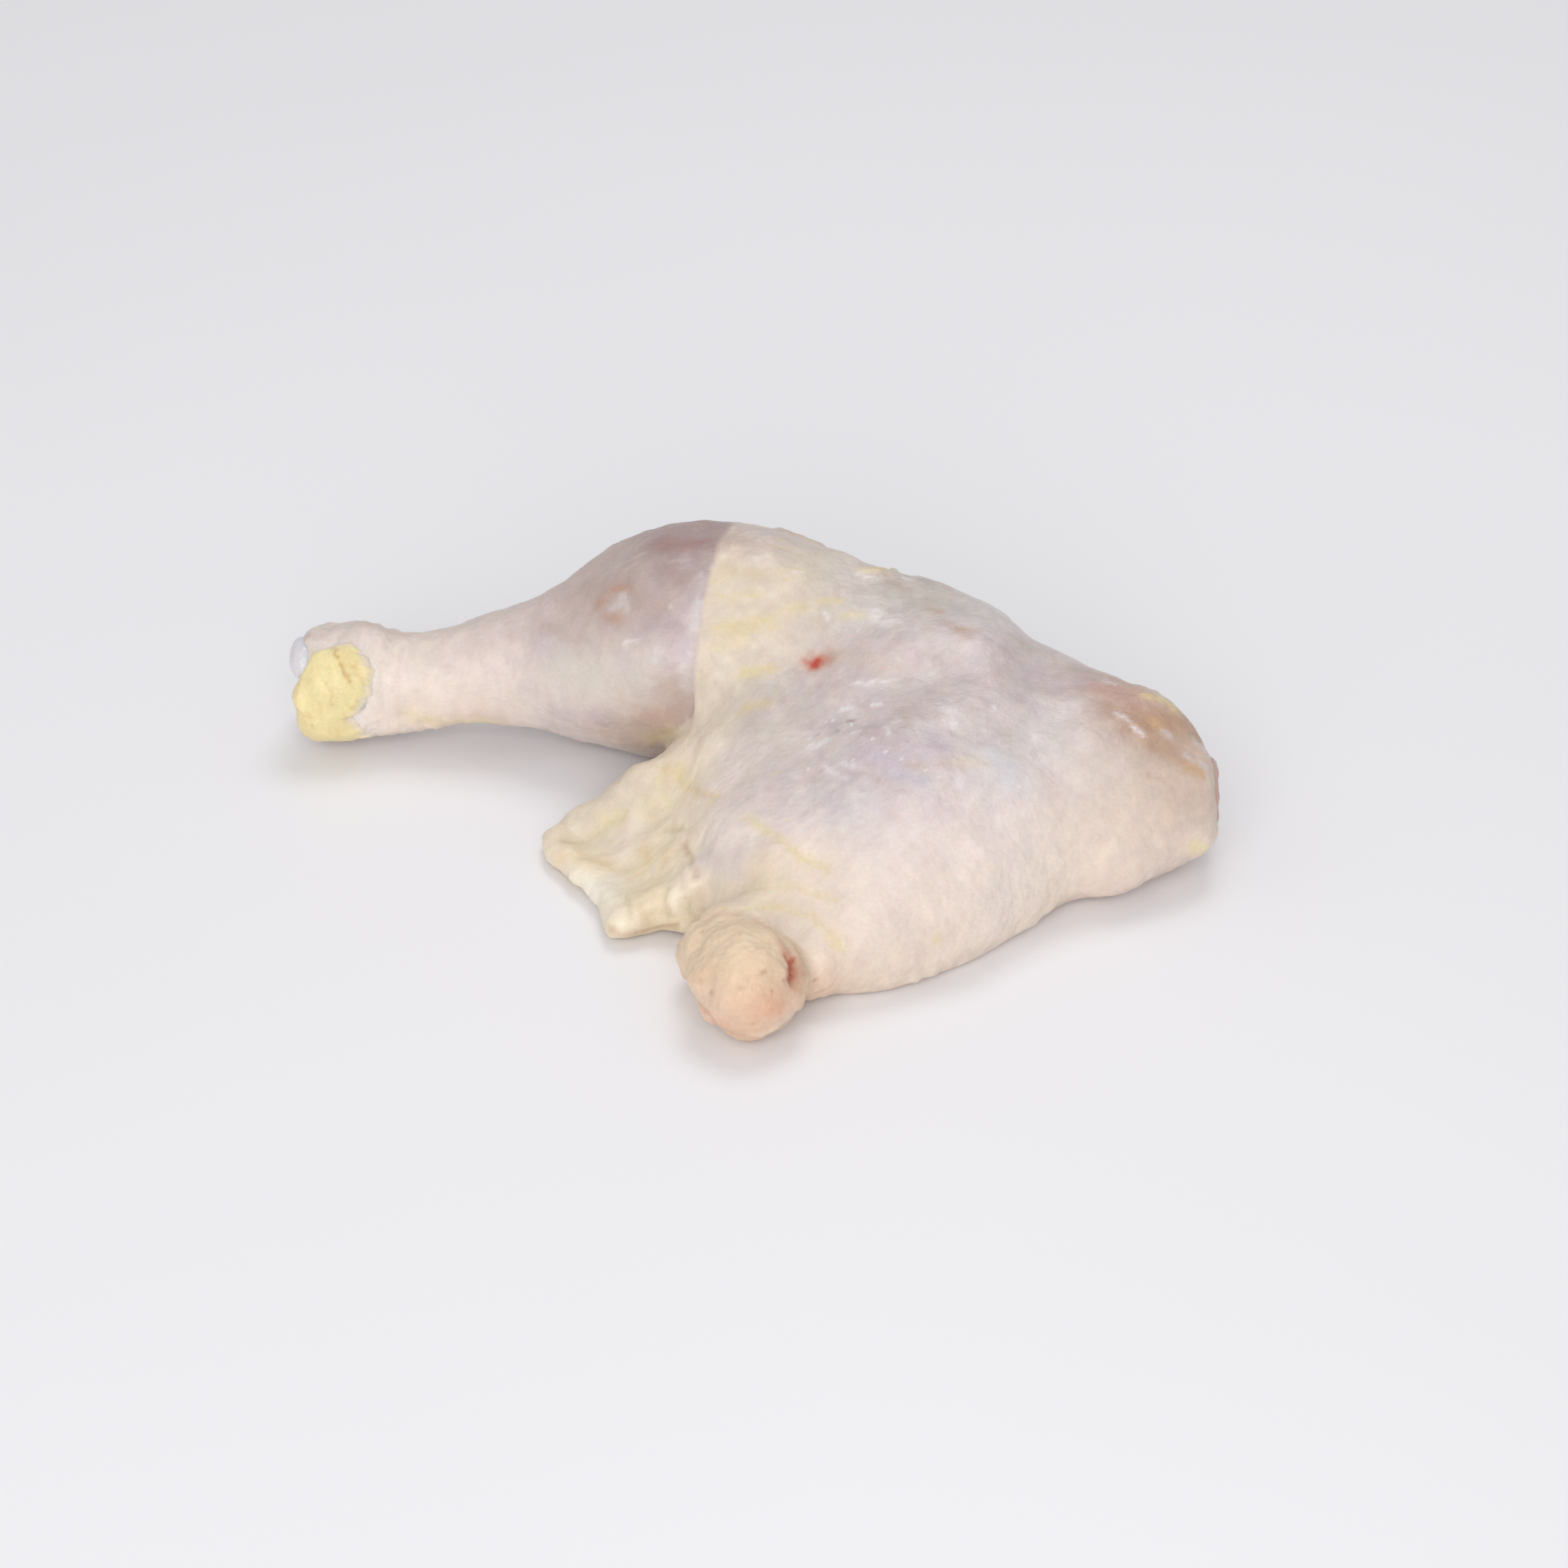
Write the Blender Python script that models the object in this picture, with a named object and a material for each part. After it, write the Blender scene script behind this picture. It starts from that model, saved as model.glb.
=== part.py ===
"""Raw chicken leg: drumstick and thigh in one skin, with the tail nub and a flap of belly skin.

The shape is worked out in millimetres and built in metres. +X runs from the hock to the cut at
the hip, +Y away from the tail side and +Z up. The leg lies on its inner side on the plane z = 0.
Its surface is a field: a number that is zero on the skin, negative inside and positive outside.
A blank is fused from plain solids, and its vertices are then moved onto that field.
"""
import math

import bmesh
import bpy
import numpy as np
from mathutils import Matrix

MM = 0.001
MIDDLE = (-7.25, -24.89)        # the point of the floor under the middle of the whole leg
GAP = 0.35                      # clearance between pieces that touch

# Drumstick: a round limb along X. Each station is (x, radius, height of its axis).
HOCK_END = -93.6
HOCK_SLANT = 0.15               # the cut hock leans back by this much for each millimetre up
KNEE_END = 10.0
DRUM_Y = 18.0
LIMB_SLOPE = 0.93               # slope of its field, less than 1 as its radius changes
DRUM = ((-100, 10.8, 12.5), (-90, 11.1, 12.5), (-82, 11.0, 12.4), (-74, 9.8, 12.1), (-66, 9.8, 13.4),
        (-58, 10.3, 15.1), (-50, 12.0, 16.3), (-42, 15.2, 17.5), (-34, 18.6, 19.2), (-26, 21.5, 20.7),
        (-16, 22.6, 21.7), (-4, 21.7, 21.0), (10, 18.4, 18.0))
HOOD_STEP = (0.4, 1.5)          # how far the thigh's skin lies over the drumstick's, high up and low down
HOOD_BAND = (-0.6, 0.6)         # stretch over which it comes up to that height
HOOD_LOW_DOWN = ((26, 12), (18, 6))     # heights, and places along Y, between which the lap grows
HOOD_X = -15.9                  # where its edge crosses y = 0
HOOD_TURN = 0.235               # how much further along for each millimetre of Y
HOOD_SKIN = (7, 1.5)            # depths under the skin between which the lap comes in

# Thigh: a chain of balls along its top, muscles as ellipsoids, and a chain of balls along its edge.
HIP_END = 79.2
HIP_TURN = 0.08                 # the cut at the hip runs further out on the near side
RIDGE = (((0, 15, 20.5), 21.6), ((9, 12, 17.6), 18.8), ((23, 6, 16.2), 19.2), ((37, -2.5, 15.4), 18.1),
         ((51, -13, 13.0), 14.2), ((63, -17.5, 13.0), 14.8), ((74, -24, 11.4), 9.3))
EDGE = (((4.5, -70.6, 7), 6.6), ((15, -64.3, 6.5), 6.2), ((42, -40.7, 8.5), 6), ((59, -37.5, 9.4), 6),
        ((72, -26, 13), 4.5))
MUSCLES = (((25, -20, 12), (37, 30, 21.0), -34),     # centre, half sizes, turn about Z
           ((17, -40.5, 9), (30.5, 29, 19), 16),
           ((53, -23, 11.5), (25, 14, 13.3), -30))
TAIL = ((-6.2, -79.8, 9.2), (9.9, 10.6, 9.5), 0)
TAIL_NECK = (((-11.3, -69.2, 7.8), 7.3), ((-1, -62, 8.5), 8.5))

# Flap of belly skin: its outline in plan, and the web of skin that joins it to the calf.
FLAP = ((-22, -1), (-37, -14), (-41, -15.5), (-45, -22.5), (-44.8, -29), (-37.2, -38.5), (-33, -49),
        (-32, -55), (-28, -55), (-19, -50), (-2, -56), (2, -10))
FLAP_THICK = 4.6
FLAP_RISE = 17.0                # how much higher the flap is where it runs into the thigh
FLAP_SLOPE = (-33, 0)           # where along X it rises
FLAP_EDGE = 3.0                 # rounding of its edge
SLAB_SLOPE = 0.8                # slope of the flap's field, less than 1 as its top rises
WEB = (((-2, 3, 17), 12), ((-13, -9.5, 9), 7.2), ((-26, -15, 5.6), 4.9), ((-32.5, -18, 3.2), 3.2))

# Folds and swellings of the skin: points along them in plan, height (negative is a crease), half width.
FOLDS = (
    (((-41, -29), (-38, -37), (-33, -46), (-29, -52)), 0.5, 3.8),       # rolled edge of the flap
    (((-27, -50), (-20, -53)), 0.9, 2.8),
    (((-18.5, -50), (-17.5, -56)), 1.2, 2.8),                           # round fold beside the tail
    (((-36, -26), (-31, -35), (-24, -43)), -0.4, 4.5),
    (((-30, -17), (-26, -24), (-23, -33)), -0.3, 3.0),
    (((-14.5, -45), (-13, -54)), -0.6, 2.4),
    (((-15, -63), (-9, -67.5), (-2, -70)), 0.6, 2.2),                   # rim of skin round the tail
    (((-10, -60), (0, -64), (8, -71)), -0.4, 2.2),
    (((-4, -53), (2, -58.5), (9, -61)), -0.8, 2.4),
    (((30, 16), (37, 5)), 1.1, 6.0),                                    # end of the thigh's main muscle
    (((46, 9), (47.5, -2), (47, -13)), -1.6, 4.5),                      # neck before the hip
    (((57, 5), (59.5, -8)), 1.1, 5.0),                                  # top of the hip
    (((8, 26), (9, 20)), -0.9, 4.0),                                    # behind the kneecap
)
FOLD_FOOT = (0.5, 3.0)          # heights between which the folds come in

# Widths of the blends between the solids.
CHAIN_BLEND = 6
RIDGE_BLEND = 8
MUSCLE_BLEND = 9
FLAP_BLEND = 9
TAIL_BLEND = 2.5
NECK_BLEND = 3
HOCK_BLEND = 4.0                # rounding of the cut at the hock
HIP_BLEND = 3                   # rounding of the cut at the hip
KNEE_BLEND = 16.0               # rounding of the drumstick's hidden end
SKIN_BLEND = (2.5, 5.0)         # drumstick to thigh, low down and high up
SKIN_BLEND_HEIGHTS = (12, 24)
FOOT_BLEND = 0.8                # rounding along the floor

# Pieces set into the ends.
MEAT = ((80.8, -24.2, 12.8, 6.2), (80.1, -24.1, 12.8, 6.8), (70, -21, 13.6, 7.2), (55, -17, 14.4, 8.6),
        (42, -13, 15, 9.2), (34, -11, 15.2, 7.6), (30, -10, 15.2, 3.4))     # x, y, z, radius
GRISTLE = ((-92.6, 14.6, 19.0), (2.7, 5.6, 4.4), 0)     # centre, half sizes, turn about Z
SCALE_ARC = (25, 158)           # reach of the scaly skin round the hock, in degrees from straight down
SCALE_WRAP = 4.0                # how far it turns in over the end of the hock
SCALE_REACH = -80.6             # where its ragged edge lies along the shank
SCALE_THICK = 0.95
SCALE_TONGUES = ((118, 20, 2.6), (80, 12, -2.2))    # angle, width and reach of its tongue and its notch
SCALE_LOW = -1.5                # how much further back its edge lies low down
SCALE_RAGS = ((9, 0, 0.45), (17, 60, 0.35))         # rags a turn, start in degrees, reach
SCALE_GRID = (34, 11)           # points round the hock and along it
SCALE_BARE = (126, 160, 13.0)   # angles between which its front edge leaves the end bare, and how far

VOXEL = 1.1                     # cell of the blank
SKIN_TRIANGLES = 9000
LIMB_STEPS = 40
MEAT_SIDES = 28
GRISTLE_SIDES = 24
CUT_THROUGH = 3.0               # how far a cutter reaches out of the face that it opens
SHARP = 50                      # edges sharper than this many degrees stay sharp


def ramp(low, high, x):
    """Smooth step from 0 at low to 1 at high."""
    t = np.clip((x - low) / (high - low), 0, 1)
    return t * t * (3 - 2 * t)


def join(a, b, k):
    """Union of two fields, with a blend about k wide."""
    h = np.clip(0.5 + 0.5 * (b - a) / k, 0, 1)
    return b + (a - b) * h - k * h * (1 - h)


def keep_inside(a, b, k):
    """What lies in both fields, with an edge rounded over about k."""
    return -join(-a, -b, k)


def through_stations(x, xs, ys):
    """Smooth curve through the stations (cubic Hermite)."""
    xs, ys = np.array(xs, float), np.array(ys, float)
    slopes = np.gradient(ys, xs)
    i = np.clip(np.searchsorted(xs, x) - 1, 0, len(xs) - 2)
    h = xs[i + 1] - xs[i]
    t = np.clip((x - xs[i]) / h, 0, 1)
    start = (2 * t ** 3 - 3 * t ** 2 + 1) * ys[i] + (t ** 3 - 2 * t ** 2 + t) * h * slopes[i]
    end = (3 * t ** 2 - 2 * t ** 3) * ys[i + 1] + (t ** 3 - t ** 2) * h * slopes[i + 1]
    return start + end


def ellipsoid(p, centre, half, turn):
    """Ellipsoid turned about Z."""
    a = math.radians(turn)
    q = p - np.array(centre, float)
    q = np.stack([math.cos(a) * q[:, 0] + math.sin(a) * q[:, 1],
                  math.cos(a) * q[:, 1] - math.sin(a) * q[:, 0], q[:, 2]], 1)
    half = np.array(half, float)
    size = np.linalg.norm(q / half, axis=1)
    return size * (size - 1) / (np.linalg.norm(q / half ** 2, axis=1) + 1e-9)


def chain(p, balls, k):
    """Balls of changing radius along a bent line."""
    field = None
    for (start, r0), (end, r1) in zip(balls[:-1], balls[1:]):
        a, b = np.array(start, float), np.array(end, float)
        t = np.clip((p - a) @ (b - a) / ((b - a) @ (b - a)), 0, 1)
        d = np.linalg.norm(p - a - t[:, None] * (b - a), axis=1) - r0 - (r1 - r0) * t
        field = d if field is None else join(field, d, k)
    return field


def distance_in_plan(p, points):
    """Distance in plan to a line through the points."""
    nearest = np.full(len(p), 1e9)
    for a, b in zip(points[:-1], points[1:]):
        a, b = np.array(a, float), np.array(b, float)
        w = p[:, :2] - a
        t = np.clip(w @ (b - a) / ((b - a) @ (b - a)), 0, 1)
        nearest = np.minimum(nearest, np.linalg.norm(w - t[:, None] * (b - a), axis=1))
    return nearest


def inside_outline(p, outline):
    """Distance in plan to a closed outline, negative inside it."""
    inside = np.zeros(len(p), bool)
    for (ax, ay), (bx, by) in zip(outline, outline[1:] + outline[:1]):
        spans = (ay <= p[:, 1]) != (by <= p[:, 1])
        inside ^= spans & (p[:, 0] < (bx - ax) * (p[:, 1] - ay) / (by - ay + 1e-12) + ax)
    d = distance_in_plan(p, outline + outline[:1])
    return np.where(inside, -d, d)


def hood_edge(p):
    """X of the edge of the thigh's skin on the drumstick."""
    return HOOD_X + HOOD_TURN * p[:, 1]


def shank(p):
    """The limb from the hock to the knee, before the thigh's skin laps over it."""
    xs, radii, heights = zip(*DRUM)
    x = np.clip(p[:, 0], xs[0], xs[-1])
    height = through_stations(x, xs, heights)
    d = np.hypot(p[:, 1] - DRUM_Y, p[:, 2] - height) - through_stations(x, xs, radii)
    end = HOCK_END - p[:, 0] + HOCK_SLANT * np.maximum(p[:, 2] - DRUM[0][2], 0)
    return keep_inside(LIMB_SLOPE * d, end, HOCK_BLEND)


def hood(p, limb):
    """How far the thigh's skin lifts the surface where it laps over the drumstick."""
    heights, across = HOOD_LOW_DOWN
    low_down = ramp(*heights, p[:, 2]) * ramp(*across, p[:, 1])
    lap = HOOD_STEP[0] + (HOOD_STEP[1] - HOOD_STEP[0]) * low_down
    return lap * ramp(*HOOD_BAND, p[:, 0] - hood_edge(p)) * ramp(*HOOD_SKIN, limb)


def thigh(p):
    d = chain(p, RIDGE, RIDGE_BLEND)
    for muscle in MUSCLES:
        d = join(d, ellipsoid(p, *muscle), MUSCLE_BLEND)
    d = join(d, chain(p, EDGE, CHAIN_BLEND), RIDGE_BLEND)
    cut = p[:, 0] - HIP_END + HIP_TURN * (p[:, 1] - RIDGE[-1][0][1])
    return keep_inside(d, cut, HIP_BLEND)


def flap_top(x):
    return FLAP_THICK + FLAP_RISE * ramp(*FLAP_SLOPE, x)


def flap(p):
    middle = flap_top(p[:, 0]) / 2
    across = inside_outline(p, FLAP) + FLAP_EDGE
    up = np.abs(p[:, 2] - middle) - middle + FLAP_EDGE
    slab = np.minimum(np.maximum(across, up), 0) - FLAP_EDGE
    slab = slab + np.hypot(np.maximum(across, 0), np.maximum(up, 0))
    return join(SLAB_SLOPE * slab, chain(p, WEB, CHAIN_BLEND), CHAIN_BLEND)


def tail(p):
    return join(ellipsoid(p, *TAIL), chain(p, TAIL_NECK, NECK_BLEND), NECK_BLEND)


def folds(p):
    """How far the folds lift the skin."""
    lift = np.zeros(len(p))
    for points, height, width in FOLDS:
        lift += height * np.exp(-(distance_in_plan(p, points) / width) ** 2)
    return lift * ramp(*FOLD_FOOT, p[:, 2])


def leg(p):
    limb = shank(p)
    upper = join(thigh(p), flap(p), FLAP_BLEND)
    low, high = SKIN_BLEND
    blend = low + (high - low) * ramp(*SKIN_BLEND_HEIGHTS, p[:, 2])
    d = join(keep_inside(limb, p[:, 0] - KNEE_END, KNEE_BLEND), upper, blend)
    d = join(d - hood(p, limb), tail(p), TAIL_BLEND)
    return keep_inside(d - folds(p), -p[:, 2], FOOT_BLEND)


def settle(points, field, offset=0.0, rounds=6):
    """Move points along the field's slope until they lie on its surface, or offset from it."""
    h = 0.02
    for _ in range(rounds):
        slope = np.stack([field(points + h * axis) - field(points - h * axis)
                          for axis in np.eye(3)], 1) / (2 * h)
        step = (field(points) - offset) / np.maximum((slope ** 2).sum(1), 0.05)
        points = points - slope * np.clip(step, -2, 2)[:, None]
    return points


def placed(centre, half, turn, grow=0.0):
    """Matrix of an ellipsoid's ball."""
    scale = Matrix.Diagonal([h + grow for h in half]).to_4x4()
    return Matrix.Translation(centre) @ Matrix.Rotation(math.radians(turn), 4, 'Z') @ scale


def add_ball(bm, matrix, steps=32):
    bmesh.ops.create_uvsphere(bm, u_segments=steps, v_segments=steps // 2, radius=1, matrix=matrix)


def add_chain(bm, balls):
    """One convex link for each pair of balls."""
    for pair in zip(balls[:-1], balls[1:]):
        before = set(bm.verts)
        for centre, radius in pair:
            add_ball(bm, placed(centre, (radius,) * 3, 0))
        bmesh.ops.convex_hull(bm, input=[v for v in bm.verts if v not in before])
        bmesh.ops.delete(bm, geom=[v for v in bm.verts if not v.link_faces], context='VERTS')


def add_loft(bm, rings, steps):
    """Solid through rings that stand across X, each (x, y, z, radius), from high x to low x."""
    loops = []
    for x, y, z, radius in rings:
        angles = [2 * math.pi * i / steps for i in range(steps)]
        loops.append([bm.verts.new((x, y + radius * math.cos(a), z + radius * math.sin(a)))
                      for a in angles])
    for near, far in zip(loops[:-1], loops[1:]):
        for i in range(steps):
            j = (i + 1) % steps
            bm.faces.new((near[i], far[i], far[j], near[j]))
    bm.faces.new(loops[0])
    bm.faces.new(loops[-1][::-1])


def add_flap(bm):
    low = [bm.verts.new((x, y, 0)) for x, y in FLAP]
    high = [bm.verts.new((x, y, float(flap_top(x)))) for x, y in FLAP]
    bm.faces.new(low[::-1])
    bm.faces.new(high)
    for i in range(len(FLAP)):
        j = (i + 1) % len(FLAP)
        bm.faces.new((low[i], low[j], high[j], high[i]))


def mesh_object(name, bm):
    bmesh.ops.recalc_face_normals(bm, faces=bm.faces)
    mesh = bpy.data.meshes.new(name)
    bm.to_mesh(mesh)
    bm.free()
    piece = bpy.data.objects.new(name, mesh)
    bpy.context.scene.collection.objects.link(piece)
    return piece


def to_metres(piece, points=None):
    """Move the piece over its own middle, in metres."""
    if points is None:
        points = np.array([v.co[:] for v in piece.data.vertices])
    points = (points - np.array([*MIDDLE, 0.0])) * MM
    piece.data.vertices.foreach_set('co', points.astype(np.float32).ravel())
    piece.data.update()


def evaluated_mesh(piece):
    graph = bpy.context.evaluated_depsgraph_get()
    return bpy.data.meshes.new_from_object(piece.evaluated_get(graph))


def blank_mesh():
    """The leg's plain solids fused on a grid of small cells, still in millimetres."""
    bm = bmesh.new()
    xs, radii, heights = zip(*DRUM)
    along = np.linspace(KNEE_END - 2, HOCK_END, LIMB_STEPS)
    rings = zip(along, [DRUM_Y] * LIMB_STEPS, through_stations(along, xs, heights),
                through_stations(along, xs, radii))
    add_loft(bm, list(rings), LIMB_STEPS)
    for body in MUSCLES + (TAIL,):
        add_ball(bm, placed(*body))
    for balls in (RIDGE, EDGE, WEB, TAIL_NECK):
        add_chain(bm, balls)
    add_flap(bm)
    blank = mesh_object('blank', bm)
    remesh = blank.modifiers.new('fuse', 'REMESH')
    remesh.mode = 'VOXEL'
    remesh.voxel_size = VOXEL
    mesh = evaluated_mesh(blank)
    bpy.data.objects.remove(blank)
    return mesh


def relax(points, edges):
    """Move each vertex half-way to the mean of its neighbours."""
    total = np.zeros_like(points)
    count = np.zeros(len(points))
    for a, b in ((edges[:, 0], edges[:, 1]), (edges[:, 1], edges[:, 0])):
        np.add.at(total, a, points[b])
        np.add.at(count, a, 1)
    return 0.5 * points + 0.5 * total / count[:, None]


def make_skin():
    mesh = blank_mesh()
    points = np.array([v.co[:] for v in mesh.vertices])
    points[:, 2] = np.maximum(points[:, 2], 0)
    points[:, 0] = np.minimum(points[:, 0], HIP_END)
    edges = np.array([e.vertices[:] for e in mesh.edges])
    for _ in range(3):
        points = settle(relax(points, edges), leg)
    skin = bpy.data.objects.new('leg_skin', mesh)
    bpy.context.scene.collection.objects.link(skin)
    to_metres(skin, points)
    mesh.name = 'leg_skin'
    thin = skin.modifiers.new('fewer faces', 'DECIMATE')
    thin.ratio = SKIN_TRIANGLES / (2 * len(mesh.polygons))
    return skin


def cut_from(piece, cutter):
    cutter.hide_render = True
    cutter.display_type = 'WIRE'
    boolean = piece.modifiers.new(cutter.name, 'BOOLEAN')
    boolean.operation = 'DIFFERENCE'
    boolean.solver = 'EXACT'
    boolean.object = cutter


def make_meat(name, grow):
    """The thigh's flesh, from the cut end inwards."""
    rings = [(x, y, z, radius + grow) for x, y, z, radius in MEAT]
    if grow:
        x, y, z, radius = rings[0]
        rings[0] = (x + CUT_THROUGH, y, z, radius)
        x, y, z, radius = rings[-1]
        rings[-1] = (x - grow, y, z, radius)
    bm = bmesh.new()
    add_loft(bm, rings, MEAT_SIDES)
    piece = mesh_object(name, bm)
    to_metres(piece)
    return piece


def make_gristle(name, grow):
    """The rounded end of the shin bone."""
    bm = bmesh.new()
    add_ball(bm, placed(*GRISTLE, grow=grow), GRISTLE_SIDES)
    piece = mesh_object(name, bm)
    to_metres(piece)
    return piece


def scale_edge(angle):
    """Ragged edge of the scaly skin along X, at an angle in degrees."""
    edge = SCALE_REACH + SCALE_LOW * ramp(50, 30, angle)
    for middle, width, reach in SCALE_TONGUES:
        edge = edge + reach * np.exp(-((angle - middle) / width) ** 2)
    for count, start, reach in SCALE_RAGS:
        edge = edge + reach * np.sin(np.radians(angle * count + start))
    return edge


def make_scale_skin():
    """A sheet over the hock, from a grid of angles by lengths, with an outer and an inner side."""
    columns, rows = SCALE_GRID
    angle = np.repeat(np.linspace(*SCALE_ARC, columns), rows)
    share = np.tile(np.linspace(0, 1, rows), columns)
    start = HOCK_END - SCALE_WRAP + SCALE_BARE[2] * ramp(*SCALE_BARE[:2], angle)
    along = start + (scale_edge(angle) - start) * share
    inward = np.maximum(HOCK_END - along, 0)
    x = np.maximum(along, HOCK_END) - 2 * ramp(0, 2, inward)
    radius = DRUM[1][1] - inward
    turn = np.radians(angle)
    base = np.stack([x, DRUM_Y - radius * np.sin(turn), DRUM[1][2] - radius * np.cos(turn)], 1)
    sides = [settle(base, shank, offset) for offset in (GAP + SCALE_THICK, GAP)]
    bm = bmesh.new()
    outer, inner = [[bm.verts.new(p) for p in side] for side in sides]
    for i in range(columns - 1):
        for j in range(rows - 1):
            a, b = i * rows + j, (i + 1) * rows + j
            bm.faces.new((outer[a], outer[b], outer[b + 1], outer[a + 1]))
            bm.faces.new((inner[a], inner[a + 1], inner[b + 1], inner[b]))
    rim = list(range(rows))
    rim += [i * rows + rows - 1 for i in range(1, columns)]
    rim += [(columns - 1) * rows + j for j in range(rows - 2, -1, -1)]
    rim += [i * rows for i in range(columns - 2, 0, -1)]
    for a, b in zip(rim, rim[1:] + rim[:1]):
        bm.faces.new((outer[a], outer[b], inner[b], inner[a]))
    piece = mesh_object('hock_scale_skin', bm)
    to_metres(piece)
    return piece


def finish(piece, colour, roughness):
    """Smooth shading and a plain material of the piece's own."""
    material = bpy.data.materials.new(piece.name)
    material.use_nodes = True
    shader = material.node_tree.nodes['Principled BSDF']
    shader.inputs['Base Color'].default_value = (*colour, 1)
    shader.inputs['Roughness'].default_value = roughness
    shader.inputs['Metallic'].default_value = 0.0
    piece.data.materials.clear()
    piece.data.materials.append(material)
    piece.data.shade_smooth()
    piece.data.set_sharp_from_angle(angle=math.radians(SHARP))


def main():
    for old in list(bpy.data.objects):
        bpy.data.objects.remove(old)
    skin = make_skin()
    meat = make_meat('thigh_meat', 0.0)
    gristle = make_gristle('hock_cartilage', 0.0)
    scale = make_scale_skin()
    cut_from(skin, make_meat('meat pocket', GAP))
    cut_from(skin, make_gristle('cartilage socket', GAP))
    cut_from(scale, make_gristle('cartilage clearance', GAP))
    finish(skin, (0.66, 0.52, 0.44), 0.42)
    finish(meat, (0.42, 0.22, 0.18), 0.4)
    finish(gristle, (0.66, 0.68, 0.74), 0.3)
    finish(scale, (0.76, 0.58, 0.20), 0.5)


main()
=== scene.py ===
"""Looks of the raw chicken leg: skin, flesh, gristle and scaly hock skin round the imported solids.

Lengths are millimetres in the leg's drawing frame until set_points() moves a piece into the row frame.
Places on the skin are written as (u, v), the pixel of the 1932 x 1932 picture where the camera sees
them, or as (x, y, z) in millimetres where the camera doesn't. Both are dropped onto the skin.
"""
import math

import bmesh
import bpy
import numpy as np
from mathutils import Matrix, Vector
from mathutils.bvhtree import BVHTree
from mathutils.kdtree import KDTree


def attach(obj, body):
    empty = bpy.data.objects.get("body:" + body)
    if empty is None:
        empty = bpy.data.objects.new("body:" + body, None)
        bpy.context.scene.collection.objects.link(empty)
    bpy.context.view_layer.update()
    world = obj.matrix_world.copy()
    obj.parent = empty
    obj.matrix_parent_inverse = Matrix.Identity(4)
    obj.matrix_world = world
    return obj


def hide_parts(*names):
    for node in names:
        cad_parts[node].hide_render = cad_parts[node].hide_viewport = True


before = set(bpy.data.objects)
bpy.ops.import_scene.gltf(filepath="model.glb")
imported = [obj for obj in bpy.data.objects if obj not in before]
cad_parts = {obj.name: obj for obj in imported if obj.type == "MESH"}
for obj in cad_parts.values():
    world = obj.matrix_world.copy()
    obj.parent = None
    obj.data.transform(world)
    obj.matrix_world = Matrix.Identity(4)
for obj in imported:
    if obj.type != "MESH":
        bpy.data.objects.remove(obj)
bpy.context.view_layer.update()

MM = 0.001
MIDDLE = np.array([-7.25, -24.89, 0.0])     # the row frame's origin, seen from the drawing frame

# ---------------------------------------------------------------- camera and studio, lengths in metres
PICTURE = 1932                  # pixels a side
LENS, SENSOR = 100.0, 36.0      # mm
DISTANCE = 835.0                # mm
ELEVATION = math.radians(32)
EYE = DISTANCE * np.array([0.0, -math.cos(ELEVATION), math.sin(ELEVATION)])
SOFTBOXES = (('front softbox', (-0.15, -1.09, 0.51), 1.0, 8.5),     # place, size, power
             ('top softbox', (0.1, 0.35, 0.9), 0.45, 2.0))
SOFTBOX_COLOUR = (1.0, 0.99, 0.98)
SKY_COLOUR, SKY_STRENGTH = (0.97, 0.98, 1.0, 1), 0.55
FLOOR_RADIUS, FLOOR_DROP = 3.0, 0.0001
FLOOR_COLOURS = ((0.90, 0.89, 0.915, 1), (0.915, 0.905, 0.93, 1))

# ---------------------------------------------------------------- form, as in the solids
# Drumstick: a round limb along X. Each station is (x, radius, height of its axis).
HOCK_END = -93.6
HOCK_SLANT = 0.15               # the cut hock leans back by this much for each millimetre up
KNEE_END = 10.0
DRUM_Y = 18.0
LIMB_SLOPE = 0.93               # slope of its field, less than 1 as its radius changes
DRUM = ((-100, 10.8, 12.5), (-90, 11.1, 12.5), (-82, 11.0, 12.4), (-74, 9.8, 12.1), (-66, 9.8, 13.4),
        (-58, 10.3, 15.1), (-50, 12.0, 16.3), (-42, 15.2, 17.5), (-34, 18.6, 19.2), (-26, 21.5, 20.7),
        (-16, 22.6, 21.7), (-4, 21.7, 21.0), (10, 18.4, 18.0))
HOOD_STEP = (0.2, 1.5)          # lap of the thigh's skin, high up (lower than in the solids) and low down
HOOD_BAND = (-0.6, 0.6)
HOOD_X = -15.9                  # where its edge crosses y = 0
HOOD_TURN = 0.235               # how much further along for each millimetre of Y

# Thigh: balls along its top and along its edge (centre, radius), and muscles (centre, half sizes, turn).
HIP_END = 79.2
HIP_TURN = 0.08
RIDGE = (((0, 15, 20.5), 21.6), ((9, 12, 17.6), 18.8), ((23, 6, 16.2), 19.2), ((37, -2.5, 15.4), 18.1),
         ((51, -13, 13.0), 14.2), ((63, -17.5, 13.0), 14.8), ((74, -24, 11.4), 9.3))
EDGE = (((4.5, -70.6, 7), 6.6), ((15, -64.3, 6.5), 6.2), ((42, -40.7, 8.5), 6), ((59, -37.5, 9.4), 6),
        ((72, -26, 13), 4.5))
MUSCLES = (((25, -20, 12), (37, 30, 21.0), -34),
           ((17, -40.5, 9), (30.5, 29, 19), 16),
           ((53, -23, 11.5), (25, 14, 13.3), -30))
TAIL = ((-6.2, -79.8, 9.2), (9.9, 10.6, 9.5), 0)
TAIL_NECK = (((-11.3, -69.2, 7.8), 7.3), ((-1, -62, 8.5), 8.5))

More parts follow.
